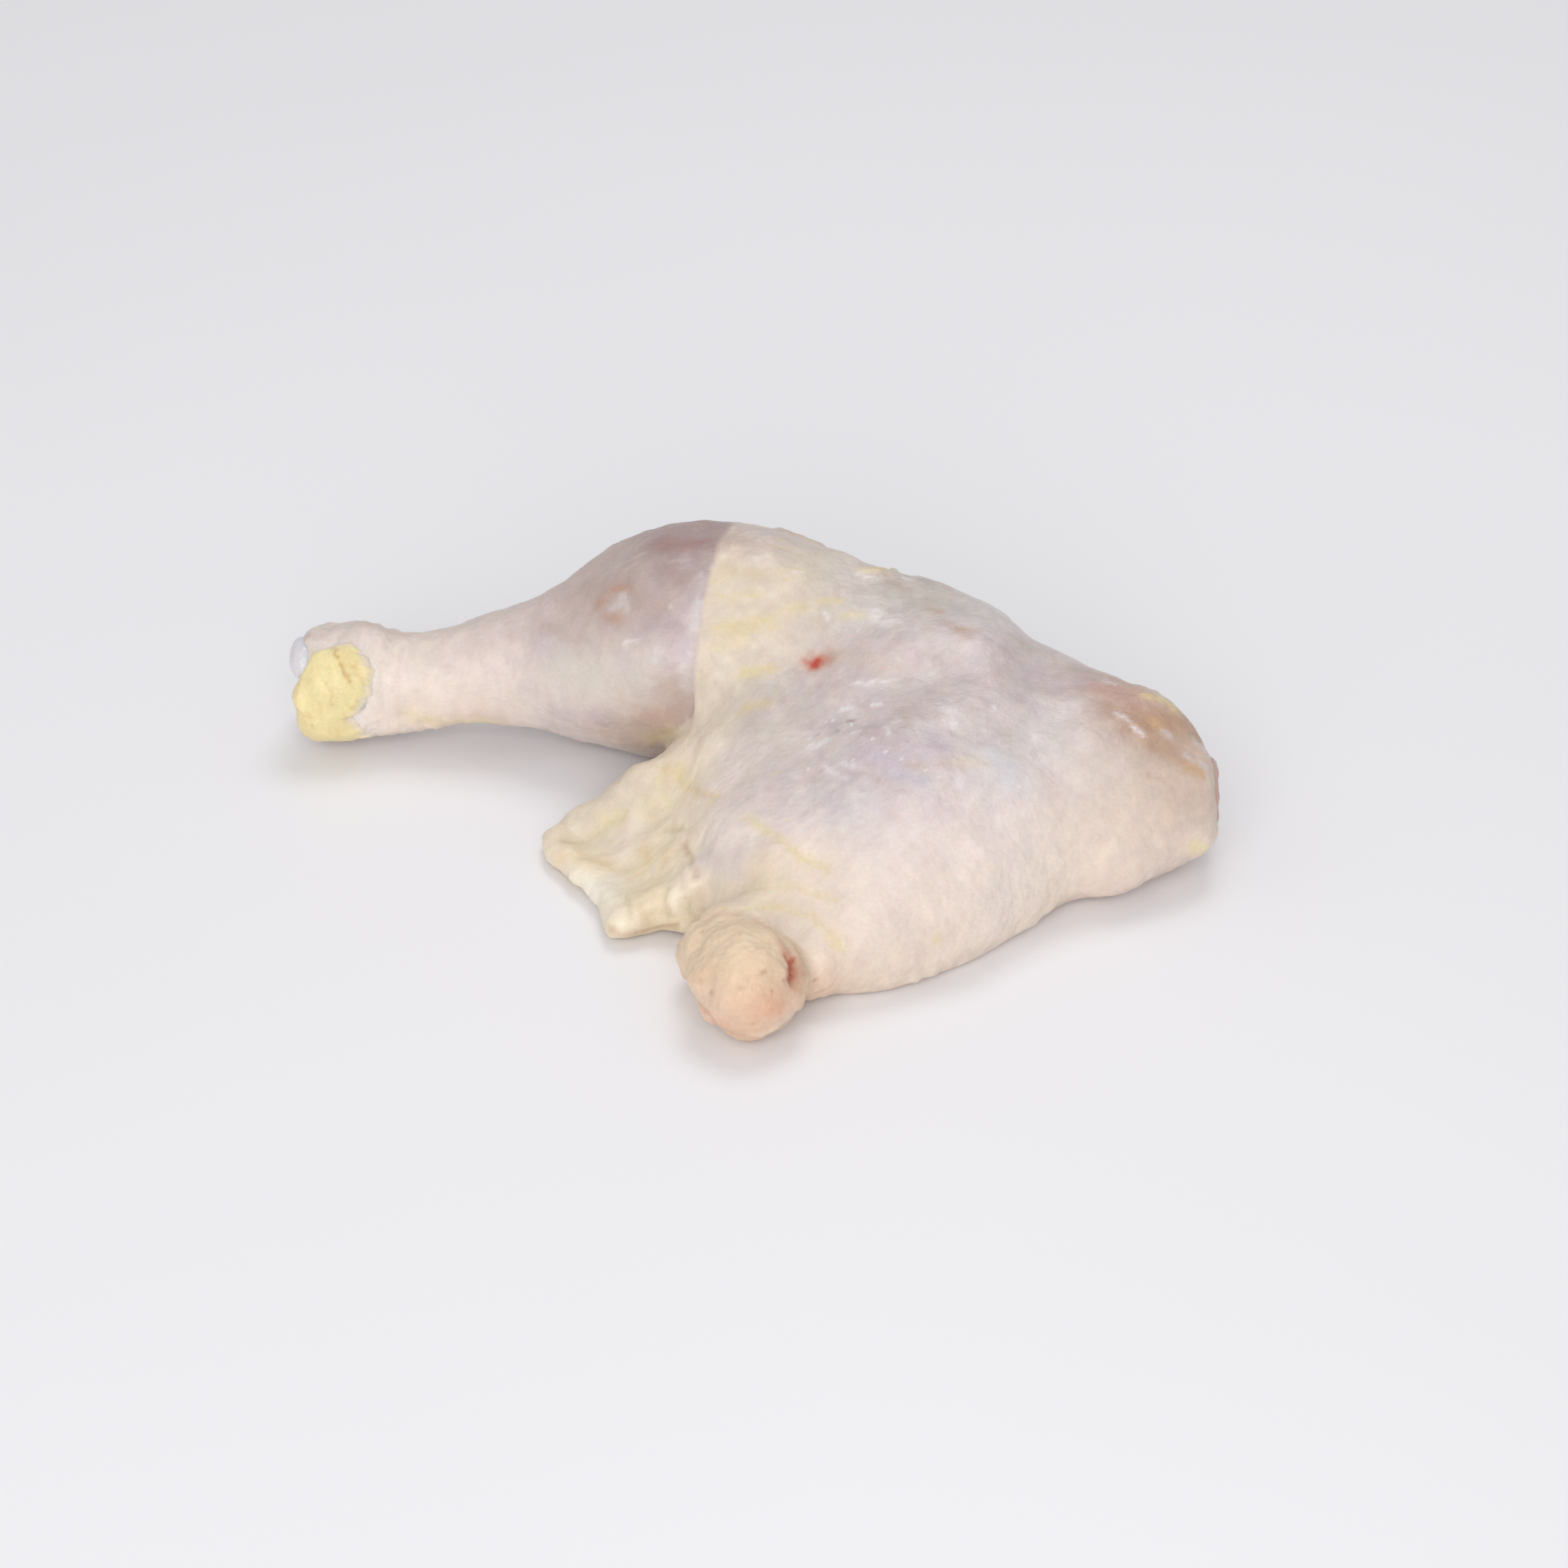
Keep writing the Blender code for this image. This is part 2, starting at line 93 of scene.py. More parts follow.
# Flap of belly skin: its outline in plan, and the web of skin that joins it to the calf.
FLAP = ((-22, -1), (-37, -14), (-41, -15.5), (-45, -22.5), (-44.8, -29), (-37.2, -38.5), (-33, -49),
        (-32, -55), (-28, -55), (-19, -50), (-2, -56), (2, -10))
FLAP_THICK = 4.6
FLAP_RISE = 17.0                # how much higher the flap is where it runs into the thigh
FLAP_SLOPE = (-33, 0)           # where along X it rises
FLAP_EDGE = 3.0                 # rounding of its edge
SLAB_SLOPE = 0.8                # slope of the flap's field, less than 1 as its top rises
WEB = (((-2, 3, 17), 12), ((-13, -9.5, 9), 7.2), ((-26, -15, 5.6), 4.9), ((-32.5, -18, 3.2), 3.2))

# Folds and swellings of the skin: points along them in plan, height (negative is a crease), half width.
FOLDS = (
    (((-41, -29), (-38, -37), (-33, -46), (-29, -52)), 0.5, 3.8),
    (((-27, -50), (-20, -53)), 0.9, 2.8),
    (((-18.5, -50), (-17.5, -56)), 1.2, 2.8),
    (((-36, -26), (-31, -35), (-24, -43)), -0.4, 4.5),
    (((-30, -17), (-26, -24), (-23, -33)), -0.3, 3.0),
    (((-14.5, -45), (-13, -54)), -0.6, 2.4),
    (((-15, -63), (-9, -67.5), (-2, -70)), 0.6, 2.2),
    (((-10, -60), (0, -64), (8, -71)), -0.4, 2.2),
    (((-4, -53), (2, -58.5), (9, -61)), -0.8, 2.4),
    (((30, 16), (37, 5)), 1.1, 6.0),
    (((46, 9), (47.5, -2), (47, -13)), -1.6, 4.5),
    (((57, 5), (59.5, -8)), 1.1, 5.0),
    (((8, 26), (9, 20)), -0.9, 4.0),
)

# Widths of the blends between the forms.
CHAIN_BLEND = 6
RIDGE_BLEND = 8
MUSCLE_BLEND = 9
FLAP_BLEND = 9
TAIL_BLEND = 2.5
NECK_BLEND = 3
HOCK_BLEND = 4.0
HIP_BLEND = 3
KNEE_BLEND = 16.0
SKIN_BLEND = (2.5, 5.0)         # drumstick to thigh, low down and high up
SKIN_BLEND_HEIGHTS = (12, 24)
FOOT_BLEND = 0.8
FOOT_BAND = (0.3, 2.0)          # heights between which the fine relief comes in

# ---------------------------------------------------------------- both ends, finer than in the solids
GRISTLE = ((-92.3, 14.8, 19.3), (2.8, 4.8, 3.8))        # centre, half sizes
SCALE_GRID = (170, 70)          # points round the hock and along it
SCALE_ARC = (25, 163)           # reach of the scaly skin round the hock, in degrees from straight down
SCALE_WRAP = 4.0                # how far it turns in over the end of the hock
SCALE_BARE = (130, 165, 13.0)   # angles between which its front edge leaves the end bare, and how far
SCALE_REACH = -79.7             # where its ragged edge lies along the shank
SCALE_TONGUES = ((118, 20, 2.6), (80, 12, -2.2))        # angle, width and reach of its tongue and notch
SCALE_CORNERS = ((50, 30, 1.5), (142, 163, 3.0))        # angles between which its edge falls back, how far
SCALE_RAGS = ((9, 0, 0.45), (17, 60, 0.35), (31, 20, 0.25), (53, 0, 0.2))   # rags a turn, start, reach
SCALE_THICK = 1.1
SCALE_SUNK = 0.35               # how far its edge lies under the skin
SCALE_DEPTH = 0.65              # how far its inner side does
SCALE_RIM = 2.0                 # over how much of a width it thins out
SCALE_BULGE = (103, 15, 1.3)    # angle, width and height of its corner over the end of the hock
SCALE_CREASE_WIDTH = 0.45
SCALE_CREASES = ((((411, 798), (416, 811), (423, 826), (432, 839)), 1.0),
                 (((400, 838), (407, 850), (410, 867)), 0.4), (((438, 822), (446, 836), (449, 848)), 0.5),
                 (((370, 872), (383, 880), (386, 892)), 0.5), (((428, 868), (438, 874)), 0.6))
MEAT_SUNK = 0.6
MEAT_VOXEL = 0.4
VOXEL = 0.72                    # cell of the skin's mesh
WELD = 1e-7                     # metres
BLANK_NODES = (('leg_skin', 0.0), ('thigh_meat', 0.9), ('hock_cartilage', 0.9))     # node, swell

# ---------------------------------------------------------------- tones
# Each tone of the skin: its colour in sRGB, how wet it is and how strongly its pores show.
TONES = {
    'cream': ((234, 220, 210), 0.20, 0.55),
    'warm cream': ((231, 214, 198), 0.20, 0.55),
    'band cream': ((225, 208, 197), 0.20, 0.55),
    'low cream': ((220, 203, 183), 0.20, 0.55),
    'shank rose': ((220, 205, 196), 0.25, 0.6),
    'rose grey': ((212, 196, 190), 0.40, 0.4),
    'mauve': ((193, 174, 167), 0.50, 0.3),
    'plum': ((174, 151, 147), 0.60, 0.2),
    'plum grey': ((172, 153, 151), 0.60, 0.2),
    'tan': ((189, 166, 151), 0.45, 0.4),
    'brown mauve': ((184, 163, 155), 0.50, 0.3),
    'calf red': ((166, 128, 122), 0.55, 0.2),
    'calf brown': ((188, 160, 147), 0.50, 0.3),
    'calf white': ((212, 204, 193), 0.35, 0.4),
    'olive brown': ((206, 188, 152), 0.45, 0.3),
    'pale grey': ((218, 206, 198), 0.35, 0.5),
    'lavender': ((210, 196, 194), 0.60, 0.2),
    'deep lavender': ((185, 167, 167), 0.60, 0.2),
    'violet': ((203, 187, 188), 0.75, 0.1),
    'ice': ((216, 208, 206), 0.60, 0.2),
    'pale blue': ((213, 210, 214), 0.60, 0.2),
    'rose white': ((226, 211, 208), 0.40, 0.6),
    'milk': ((235, 223, 220), 0.40, 0.5),
    'knee cream': ((222, 208, 190), 0.35, 0.3),
    'knee yellow': ((226, 209, 168), 0.35, 0.3),
    'knee tan': ((216, 193, 160), 0.35, 0.3),
    'yellow cream': ((238, 223, 200), 0.30, 0.3),
    'fat cream': ((234, 219, 196), 0.30, 0.3),
    'butter': ((237, 221, 189), 0.35, 0.3),
    'flap cream': ((217, 204, 186), 0.30, 0.3),
    'straw cream': ((224, 206, 178), 0.35, 0.2),
    'pale straw': ((226, 214, 172), 0.35, 0.2),
    'straw shade': ((212, 194, 162), 0.30, 0.2),
    'straw peach': ((228, 203, 164), 0.30, 0.2),
    'tail beige': ((231, 207, 178), 0.25, 0.9),
    'ivory': ((246, 239, 223), 0.25, 0.3),
    'green grey': ((202, 192, 184), 0.60, 0.2),
    'salmon': ((197, 158, 144), 0.70, 0.2),
    'hip brown': ((187, 150, 124), 0.80, 0.1),
    'hip cream': ((210, 188, 172), 0.50, 0.3),
    'hip rose': ((223, 205, 192), 0.30, 0.35),
    'peach': ((226, 200, 172), 0.30, 0.8),
    'peach rose': ((221, 187, 157), 0.35, 0.7),
    'shadow peach': ((215, 187, 169), 0.35, 0.7),
    'orange': ((217, 166, 138), 0.45, 0.4),
    'blood': ((190, 64, 46), 0.90, 0.0),
    'raw red': ((206, 124, 100), 0.70, 0.0),
    'straw': ((226, 208, 150), 0.50, 0.1),
    'olive': ((214, 198, 160), 0.45, 0.2),
    'rust': ((186, 138, 108), 0.60, 0.1),
    'amber': ((203, 166, 124), 0.80, 0.0),
    # fleck: white for painted highlights on wet skin, and also for white bits of fat
    'fleck': ((238, 232, 232), 1.00, 0.0),
    'dark fleck': ((148, 124, 112), 0.60, 0.0),
    'follicle': ((184, 146, 118), 0.40, 0.0),
    'lilac': ((196, 181, 190), 0.75, 0.1),
    'blue violet': ((190, 182, 196), 0.75, 0.1),
    'slit red': ((172, 74, 46), 0.90, 0.0),
    'flesh': ((192, 163, 153), 0.80, 0.0),
    'yellow': ((236, 219, 166), 0.35, 0.3),
    'pale yellow': ((237, 227, 200), 0.30, 0.3),
    'cream yellow': ((235, 223, 199), 0.25, 0.5),
    'deep yellow': ((229, 210, 152), 0.40, 0.2),
    'gold': ((214, 180, 116), 0.45, 0.1),
    'gristle': ((217, 213, 216), 0.80, 0.0),
}

# Large areas of each tone: (u, v, reach in mm). The tones melt into each other between the places.
AREAS = {
    'cream': ((470, 830, 7), (520, 840, 7), (600, 850, 7), (900, 960, 7), (900, 1020, 7), (1160, 1040, 8),
        (1220, 1070, 8), (1280, 1000, 8), (1280, 1060, 8), (1050, 1090, 8), (1100, 1120, 8),
        (1220, 1120, 7)),
    'warm cream': ((520, 885, 6), (1330, 1030, 8), (1000, 1060, 6), (1290, 1110, 6), (1000, 1120, 6),
        (1190, 1165, 6), (1020, 1180, 6)),
    'band cream': ((1160, 1110, 8), (1060, 1150, 7)),
    'low cream': ((940, 740, 7), (1080, 1205, 6), (960, 1105, 5)),
    'shank rose': ((520, 800, 7), (440, 780, 6), (390, 780, 6)),
    'rose grey': ((600, 800, 7), (660, 750, 7), (660, 800, 7), (700, 895, 5), (760, 860, 7), (945, 665, 6),
        (1330, 970, 7)),
    'mauve': ((700, 740, 7), (700, 780, 6), (760, 700, 7), (760, 780, 6), (820, 730, 6), (820, 850, 6),
        (838, 860, 4), (1330, 840, 6)),
    'plum': ((820, 655, 6), (870, 660, 6)),
    'plum grey': ((820, 690, 7), (858, 700, 5)),
    'tan': ((760, 900, 6), (820, 895, 6)),
    'brown mauve': ((760, 740, 6),),
    'pale grey': ((655, 850, 7), (700, 820, 7), (700, 860, 7), (760, 820, 7), (940, 920, 7), (990, 780, 6),
        (1040, 710, 6), (1330, 920, 7), (1380, 940, 6), (885, 1060, 5)),
    'lavender': ((820, 810, 6), (850, 750, 5), (845, 810, 4), (940, 980, 7), (990, 860, 7), (990, 940, 7),
        (1040, 820, 7), (1040, 880, 7), (1040, 940, 7), (1100, 790, 7), (1100, 850, 7), (1160, 800, 7),
        (1160, 860, 7), (1160, 920, 7), (1220, 860, 7), (1220, 910, 7), (1280, 800, 7), (1280, 850, 7),
        (1330, 880, 7)),
    'deep lavender': ((820, 770, 6),),
    'violet': ((1100, 910, 7), (1100, 970, 7), (1220, 810, 7)),
    'ice': ((1040, 1000, 7), (1220, 760, 7), (1220, 960, 7), (1280, 900, 7)),
    'rose white': ((990, 1000, 7), (1100, 1030, 7), (1160, 980, 7), (1220, 1010, 7)),
    'milk': ((1280, 950, 7),),
    'knee cream': ((905, 720, 6), (890, 780, 6), (895, 840, 6), (880, 900, 6), (940, 800, 7), (990, 690, 6),
        (990, 740, 7), (850, 1085, 5)),
    'yellow cream': ((775, 1040, 5), (840, 1000, 5), (850, 960, 5), (845, 1040, 5), (865, 1110, 5)),
    'fat cream': ((690, 1030, 5), (825, 940, 5), (900, 1090, 5)),
    'butter': ((720, 1060, 5), (810, 1055, 5), (800, 1090, 5), (820, 1120, 5)),
    'flap cream': ((730, 1010, 5), (760, 990, 5), (790, 970, 5)),
    'straw cream': ((800, 1000, 5), (935, 1095, 5)),
    'straw shade': ((790, 1130, 4),),
    'tail beige': ((850, 1165, 4), (885, 1150, 5), (925, 1155, 5), (960, 1190, 4), (860, 1205, 5),
        (905, 1200, 5)),
    'ivory': ((745, 1085, 5),),
    'green grey': ((940, 860, 6), (1040, 760, 7), (1100, 730, 7), (1160, 740, 7)),
    'salmon': ((1380, 860, 6),),
    'hip brown': ((1380, 900, 6), (1430, 900, 5), (1470, 900, 4)),
    'hip cream': ((600, 885, 5), (905, 665, 5), (1430, 870, 5), (1430, 940, 6), (1430, 990, 6),
        (1472, 940, 5), (1472, 985, 5)),
    'hip rose': ((1380, 980, 7), (1380, 1050, 8), (1430, 1040, 7), (1470, 1025, 5), (1120, 1165, 7)),
    'peach rose': ((1015, 1215, 5), (940, 1220, 5), (920, 1262, 5)),
    'shadow peach': ((880, 1250, 5), (960, 1258, 4)),
    'cream yellow': ((765, 1120, 5),),
}

# The same for the side away from the camera and the underside: (x, y, z, reach in mm).
HIDDEN_AREAS = {
    'cream': ((-84, 18, 0, 14),),
    'warm cream': ((0, 15, 0, 18), (35, -12, 0, 22), (10, -55, 0, 16)),
    'shank rose': ((-80, 29, 12, 12), (-60, 28, 14, 12)),
    'rose grey': ((66, -2, 14, 10),),
    'mauve': ((-35, 36, 22, 12), (-18, 40, 22, 12)),
    'pale grey': ((-35, 18, 0, 16), (30, 26, 18, 12)),
    'lavender': ((48, 12, 16, 12),),
    'knee cream': ((0, 40, 24, 10), (12, 34, 20, 12)),
    'fat cream': ((-26, -30, 0, 14),),
    'hip cream': ((76, -12, 12, 8),),
    'hip rose': ((62, -22, 0, 16),),
    'peach': ((-7, -78, 0, 10),),
}

# Marks, each painted over the ones before it: tone, how strongly it shows, half width and height in mm,
# and the places that its line runs through.
MARKS = (
    # calf: red and brown high up, pale fibres, dark patch
    ('calf red', 0.8, 2.6, 0, (816, 669), (840, 673), (862, 669)),
    ('plum', 0.5, 1.6, 0, (800, 658), (838, 652), (868, 658)),
    ('rust', 0.35, 0.8, 0, (781, 675), (800, 669)),
    ('pale grey', 0.45, 0.45, 0.04, (757, 700), (776, 690), (793, 682)),
    ('pale grey', 0.35, 0.4, 0.03, (770, 706), (786, 697)),
    ('plum', 0.85, 2.4, 0, (822, 702), (840, 714)),
    ('lavender', 0.4, 0.4, 0.04, (850, 722), (863, 708)),
    ('lavender', 0.25, 0.4, 0.03, (822, 694), (848, 692)),
    # purple strip along the edge of the thigh's skin, painted shade where that skin laps over the calf, and
    # a pale strip along the same edge
    ('deep lavender', 0.8, 0.4, 0, (875, 697), (869, 718), (863, 737)),
    ('ice', 0.4, 1.0, 0, (866, 712), (860, 738), (854, 762), (848, 790), (847, 850)),
    # pale spot of the calf, with dark and rust round it
    ('brown mauve', 0.6, 2.2, 0, (718, 722), (742, 726)),
    ('rust', 0.5, 1.0, 0, (757, 728), (768, 724), (779, 729)),
    ('rust', 0.55, 1.2, 0, (738, 746), (746, 741)),
    ('brown mauve', 0.6, 1.2, 0, (783, 731), (788, 745)),
    ('rust', 0.45, 1.2, 0, (750, 761), (765, 764)),
    ('ice', 0.6, 0.9, 0.08, (755, 750), (766, 744), (770, 734), (773, 748)),
    ('brown mauve', 0.7, 2.0, 0, (790, 741), (818, 750)),
    # painted glint on the calf
    ('fleck', 0.4, 0.35, 0.03, (825, 745), (827, 747)),
    # mauve blotches
    ('deep lavender', 0.8, 2.2, 0, (804, 768), (832, 776)),
    ('mauve', 0.7, 2.0, 0, (700, 744), (722, 758)),
    ('brown mauve', 0.55, 1.6, 0, (674, 772), (692, 780)),
    ('mauve', 0.6, 1.6, 0, (695, 786), (712, 788)),
    # white arc, a painted glint on a flake of skin, then pale streaks and lilac
    ('fleck', 0.6, 0.36, 0.05, (771, 792), (779, 789), (787, 790)),
    ('ice', 0.7, 0.7, 0.05, (860, 742), (857, 775)),
    ('ice', 0.6, 0.9, 0, (812, 798), (806, 815)),
    ('ice', 0.8, 0.7, 0, (841, 810), (838, 827)),
    ('lilac', 0.7, 0.8, 0, (846, 790), (842, 812)),
    ('lilac', 0.6, 2.6, 0, (772, 820), (790, 850)),
    ('lilac', 0.4, 2.4, 0, (690, 878), (745, 884)),
    ('lilac', 0.6, 2.4, 0, (666, 796), (690, 806)),
    # whitish, brown and olive low on the calf, yellow under the shank
    ('calf white', 0.7, 5.0, 0, (690, 820), (740, 836), (790, 838)),
    ('calf brown', 0.3, 2.0, 0, (818, 848), (845, 860)),
    ('calf brown', 0.6, 2.2, 0, (798, 888), (840, 880)),
    ('olive brown', 0.85, 2.0, 0, (800, 914), (829, 905)),
    ('knee yellow', 0.55, 1.8, 0.1, (505, 880), (545, 891), (610, 887)),
    # knee: yellow spots
    ('straw', 0.45, 1.1, 0.1, (974, 753), (990, 748)),
    ('straw', 0.5, 0.8, 0.1, (1008, 741), (1036, 740)),
    ('straw', 0.5, 0.9, 0.1, (1040, 759), (1063, 756)),
    ('straw', 0.5, 1.1, 0.1, (917, 830), (953, 826)),
    ('straw', 0.45, 1.1, 0, (924, 875), (950, 872)),
    # slanted bands of fat
    ('knee tan', 0.5, 1.3, 0.05, (892, 702), (915, 704), (938, 708)),
    ('knee yellow', 0.5, 1.0, 0.05, (884, 733), (905, 735), (930, 732)),
    ('straw', 0.5, 1.4, 0.05, (886, 773), (912, 770), (948, 765)),
    ('knee yellow', 0.5, 1.2, 0.05, (876, 797), (895, 795), (915, 790)),
    ('straw', 0.35, 0.9, 0, (958, 706), (985, 702)),
    ('knee tan', 0.4, 1.6, 0, (918, 884), (944, 872)),
    # rise behind the knee and valley of the thigh, which have no tone of their own
    ('pale grey', 0.0, 4.0, 1.0, (1035, 688), (1061, 700), (1085, 708)),
    ('lavender', 0.0, 6.0, 1.2, (880, 912), (928, 876), (985, 844), (1045, 821), (1110, 806), (1200, 800)),
    # tags, knob and brown streaks along the outline
    ('tan', 0.5, 1.3, 0.7, (962, 650), (984, 661), (1010, 674)),
    ('straw', 0.7, 1.0, 0.6, (1062, 707), (1088, 710)),
    # white line under the tag, partly fat and partly painted highlight
    ('fleck', 0.8, 0.5, 0.1, (1067, 714), (1090, 715)),
    ('straw', 0.35, 0.8, 0.8, (1100, 699), (1105, 699)),
    ('tan', 0.5, 1.0, 0, (1104, 720), (1122, 726)),
    ('hip brown', 0.55, 1.2, 0, (1146, 750), (1157, 755)),
    ('tan', 0.65, 1.1, 0, (1169, 772), (1180, 779), (1192, 790)),
    # thigh: painted highlight on a wet patch
    ('fleck', 0.5, 1.5, 0.08, (1074, 752), (1084, 764), (1100, 766)),
    # blood spot in its halo
    ('rust', 0.6, 2.6, 0, (1004, 818), (1012, 815), (1022, 813)),
    ('raw red', 0.8, 1.7, 0, (1003, 819), (1009, 817)),
    ('blood', 1.0, 1.25, -0.05, (1003, 819), (1007, 818)),
    # hairline
    ('fleck', 0.75, 0.32, 0.05, (1048, 850), (1058, 846), (1068, 847), (1078, 842), (1092, 841),
     (1106, 838)),
    # dark flecks
    ('dark fleck', 0.7, 0.4, 0, (1045, 886), (1050, 887)),
    ('dark fleck', 0.5, 0.35, 0, (1029, 899), (1033, 900)),
    ('dark fleck', 0.5, 0.3, 0, (1006, 904), (1010, 904)),
    # white flecks: partly bits of fat, partly painted highlights on wet skin
    ('fleck', 0.8, 0.6, 0.1, (1038, 874), (1049, 871)),
    ('fleck', 0.8, 0.5, 0.1, (1073, 867), (1084, 867)),
    ('fleck', 0.7, 0.5, 0.1, (1049, 905), (1058, 903)),
    ('fleck', 0.65, 0.9, 0.05, (1000, 917), (1016, 911)),
    ('fleck', 0.6, 0.6, 0.05, (1014, 940), (1026, 952), (1043, 960)),
    ('fleck', 0.6, 1.1, 0.1, (1160, 874), (1176, 877)),
    ('fleck', 0.5, 0.6, 0, (1170, 884), (1174, 896)),
    ('fleck', 0.9, 0.5, 0.1, (1093, 899), (1096, 907)),
    ('fleck', 0.6, 0.7, 0.1, (1112, 921), (1117, 921)),
    ('fleck', 0.7, 0.8, 0.1, (1040, 940), (1054, 946)),
    ('fleck', 0.7, 0.5, 0.1, (1099, 951), (1107, 952)),
    ('fleck', 0.6, 0.4, 0.1, (1224, 871), (1225, 876)),
    ('ice', 0.7, 0.9, 0, (1024, 929), (1036, 934)),
    # light patches
    ('rose white', 0.6, 1.6, 0, (1230, 888), (1246, 892)),
    ('ice', 0.5, 1.8, 0, (1128, 896), (1142, 900)),
    # flecks of the knee, white ones partly fat and partly painted highlight, and brown under the knob
    ('fleck', 0.7, 0.45, 0.1, (1017, 758), (1020, 763)),
    ('fleck', 0.5, 0.5, 0.1, (978, 706), (988, 706)),
    ('fleck', 0.6, 0.4, 0.1, (932, 668), (936, 670)),
    ('fleck', 0.7, 0.4, 0.1, (1106, 816), (1110, 818)),
    ('fleck', 0.7, 0.4, 0.1, (1112, 714), (1124, 716)),
    ('tan', 0.55, 1.4, 0, (1084, 713), (1106, 720)),
    # purple and violet muscle under the skin
    ('lilac', 0.7, 3.2, 0, (1064, 930), (1100, 935), (1145, 925)),
    ('deep lavender', 0.4, 2.6, 0, (1114, 872), (1150, 880)),
    ('deep lavender', 0.5, 2.2, 0, (1070, 904), (1104, 916)),
    ('deep lavender', 0.25, 2.4, 0, (1050, 956), (1088, 962)),
    ('lilac', 0.5, 2.2, 0, (1150, 902), (1172, 930)),
    ('lilac', 0.4, 2.4, 0, (1022, 980), (1042, 996)),
    ('lilac', 0.4, 2.0, 0, (1255, 860), (1280, 872)),
    # tan, lilac, blue, peach and pink patches
    ('tan', 0.5, 0.9, 0, (1114, 878), (1118, 894)),
    ('tan', 0.5, 1.3, 0, (1122, 940), (1137, 944)),
    ('hip cream', 0.4, 3.0, 0, (1056, 812), (1100, 826)),
    ('lilac', 0.35, 1.8, 0, (1144, 985), (1156, 1010)),
    ('blue violet', 0.6, 1.8, 0, (1108, 956), (1136, 960)),
    ('tan', 0.35, 1.4, 0, (1160, 940), (1188, 946)),
    ('straw cream', 0.5, 1.7, 0, (1182, 936), (1214, 941)),
    ('pale blue', 0.75, 3.4, 0, (1228, 934), (1246, 962)),
    ('rose white', 0.5, 2.5, 0, (1140, 1000), (1165, 995)),
    # orange, tan and purple towards the hip
    ('rust', 0.35, 1.0, 0, (1182, 780), (1199, 782)),
    ('tan', 0.4, 1.5, 0, (1246, 785), (1272, 800)),
    ('lilac', 0.4, 2.4, 0, (1265, 830), (1330, 842)),
    # hip: salmon, mauve and brown
    ('salmon', 0.75, 2.2, 0, (1350, 848), (1404, 858)),
    ('hip brown', 0.45, 2.4, 0, (1366, 872), (1425, 880)),
    ('hip brown', 0.8, 2.4, 0, (1398, 892), (1440, 888), (1484, 910)),
    ('hip brown', 0.6, 2.4, 0, (1424, 918), (1462, 936)),
    # fat streak, with a pale cream line along it that is a painted highlight
    ('straw', 0.75, 1.0, 0.2, (1411, 857), (1430, 864), (1444, 876)),
    ('yellow cream', 0.6, 0.5, 0.1, (1426, 860), (1446, 873)),
    # orange spots
    ('amber', 0.85, 1.0, 0, (1423, 888), (1430, 898)),
    ('amber', 0.5, 0.7, 0, (1395, 891), (1404, 893)),
    ('amber', 0.75, 1.1, 0, (1465, 946), (1480, 952)),
    # whitish blotches and a scratch
    ('ice', 0.75, 0.8, 0.1, (1435, 901), (1443, 909)),
    ('ice', 0.75, 0.6, 0.1, (1460, 928), (1468, 936)),
    ('ice', 0.7, 0.8, 0.1, (1472, 916), (1482, 926)),
    ('ice', 0.7, 0.6, 0.1, (1477, 938), (1486, 947)),
    ('ice', 0.5, 0.6, 0.1, (1487, 958), (1490, 968)),
    ('salmon', 0.4, 0.5, -0.05, (1414, 956), (1435, 960)),
    # glints
    ('fleck', 0.85, 0.55, 0.04, (1375, 876), (1391, 887)),
    ('fleck', 0.85, 0.55, 0.04, (1395, 894), (1408, 905)),
    ('fleck', 0.6, 0.4, 0.1, (1359, 838), (1374, 842)),
    # low corner of the hip
    ('hip rose', 0.3, 2.4, 0.7, (1484, 1042), (1496, 1028)),
    ('yellow', 0.7, 1.3, 0, (1468, 1042), (1486, 1043)),
    # yellow marks low on the thigh
    ('straw', 0.55, 1.0, 0, (1022, 1150), (1034, 1167)),
    ('straw', 0.5, 0.8, 0, (1152, 1157), (1156, 1160)),
    # web: peach spot, gold line, fold, and a fill that is raised and painted a little paler, painted light
    # against the shade of the hollow
    ('straw peach', 0.9, 1.7, 0, (826, 952), (838, 953)),
    ('straw peach', 0.8, 0.9, -0.35, (836, 960), (850, 972), (868, 982), (886, 985)),
    ('pale straw', 0.5, 0.9, -0.35, (818, 942), (812, 968), (824, 992)),
    ('straw', 0.4, 1.0, 0, (881, 991), (870, 1000)),
    ('cream', 0.15, 4.5, 1.2, (880, 925), (866, 965), (874, 1005)),
    # crease above the flap, with its knob
    ('olive brown', 0.5, 0.8, -0.4, (820, 1024), (832, 1022), (848, 1022)),
    ('ivory', 0.5, 0.5, 0.3, (846, 1021), (850, 1019)),
    # flap: yellow-green, rosy hollows, pink spot, grey patches
    ('pale straw', 0.6, 1.8, -0.2, (746, 1012), (772, 1004), (796, 992)),
    ('pale straw', 0.6, 1.6, 0, (838, 956), (848, 968)),
    ('straw peach', 0.75, 1.5, -0.1, (794, 1046), (798, 1062)),
    ('straw peach', 0.7, 1.3, -0.1, (824, 1052), (820, 1062)),
    ('rose white', 0.7, 0.5, 0, (803, 1071), (808, 1075)),
    ('lavender', 0.6, 2.0, 0, (868, 1058), (884, 1064)),
    ('lavender', 0.6, 2.0, 0, (903, 1052), (908, 1078)),
    # rise above the tail, painted paler as painted light against the shade of the hollow beside the tail,
    # and yellow arcs above the tail
    ('fat cream', 0.5, 2.6, 0.3, (868, 1104), (884, 1116), (930, 1108)),
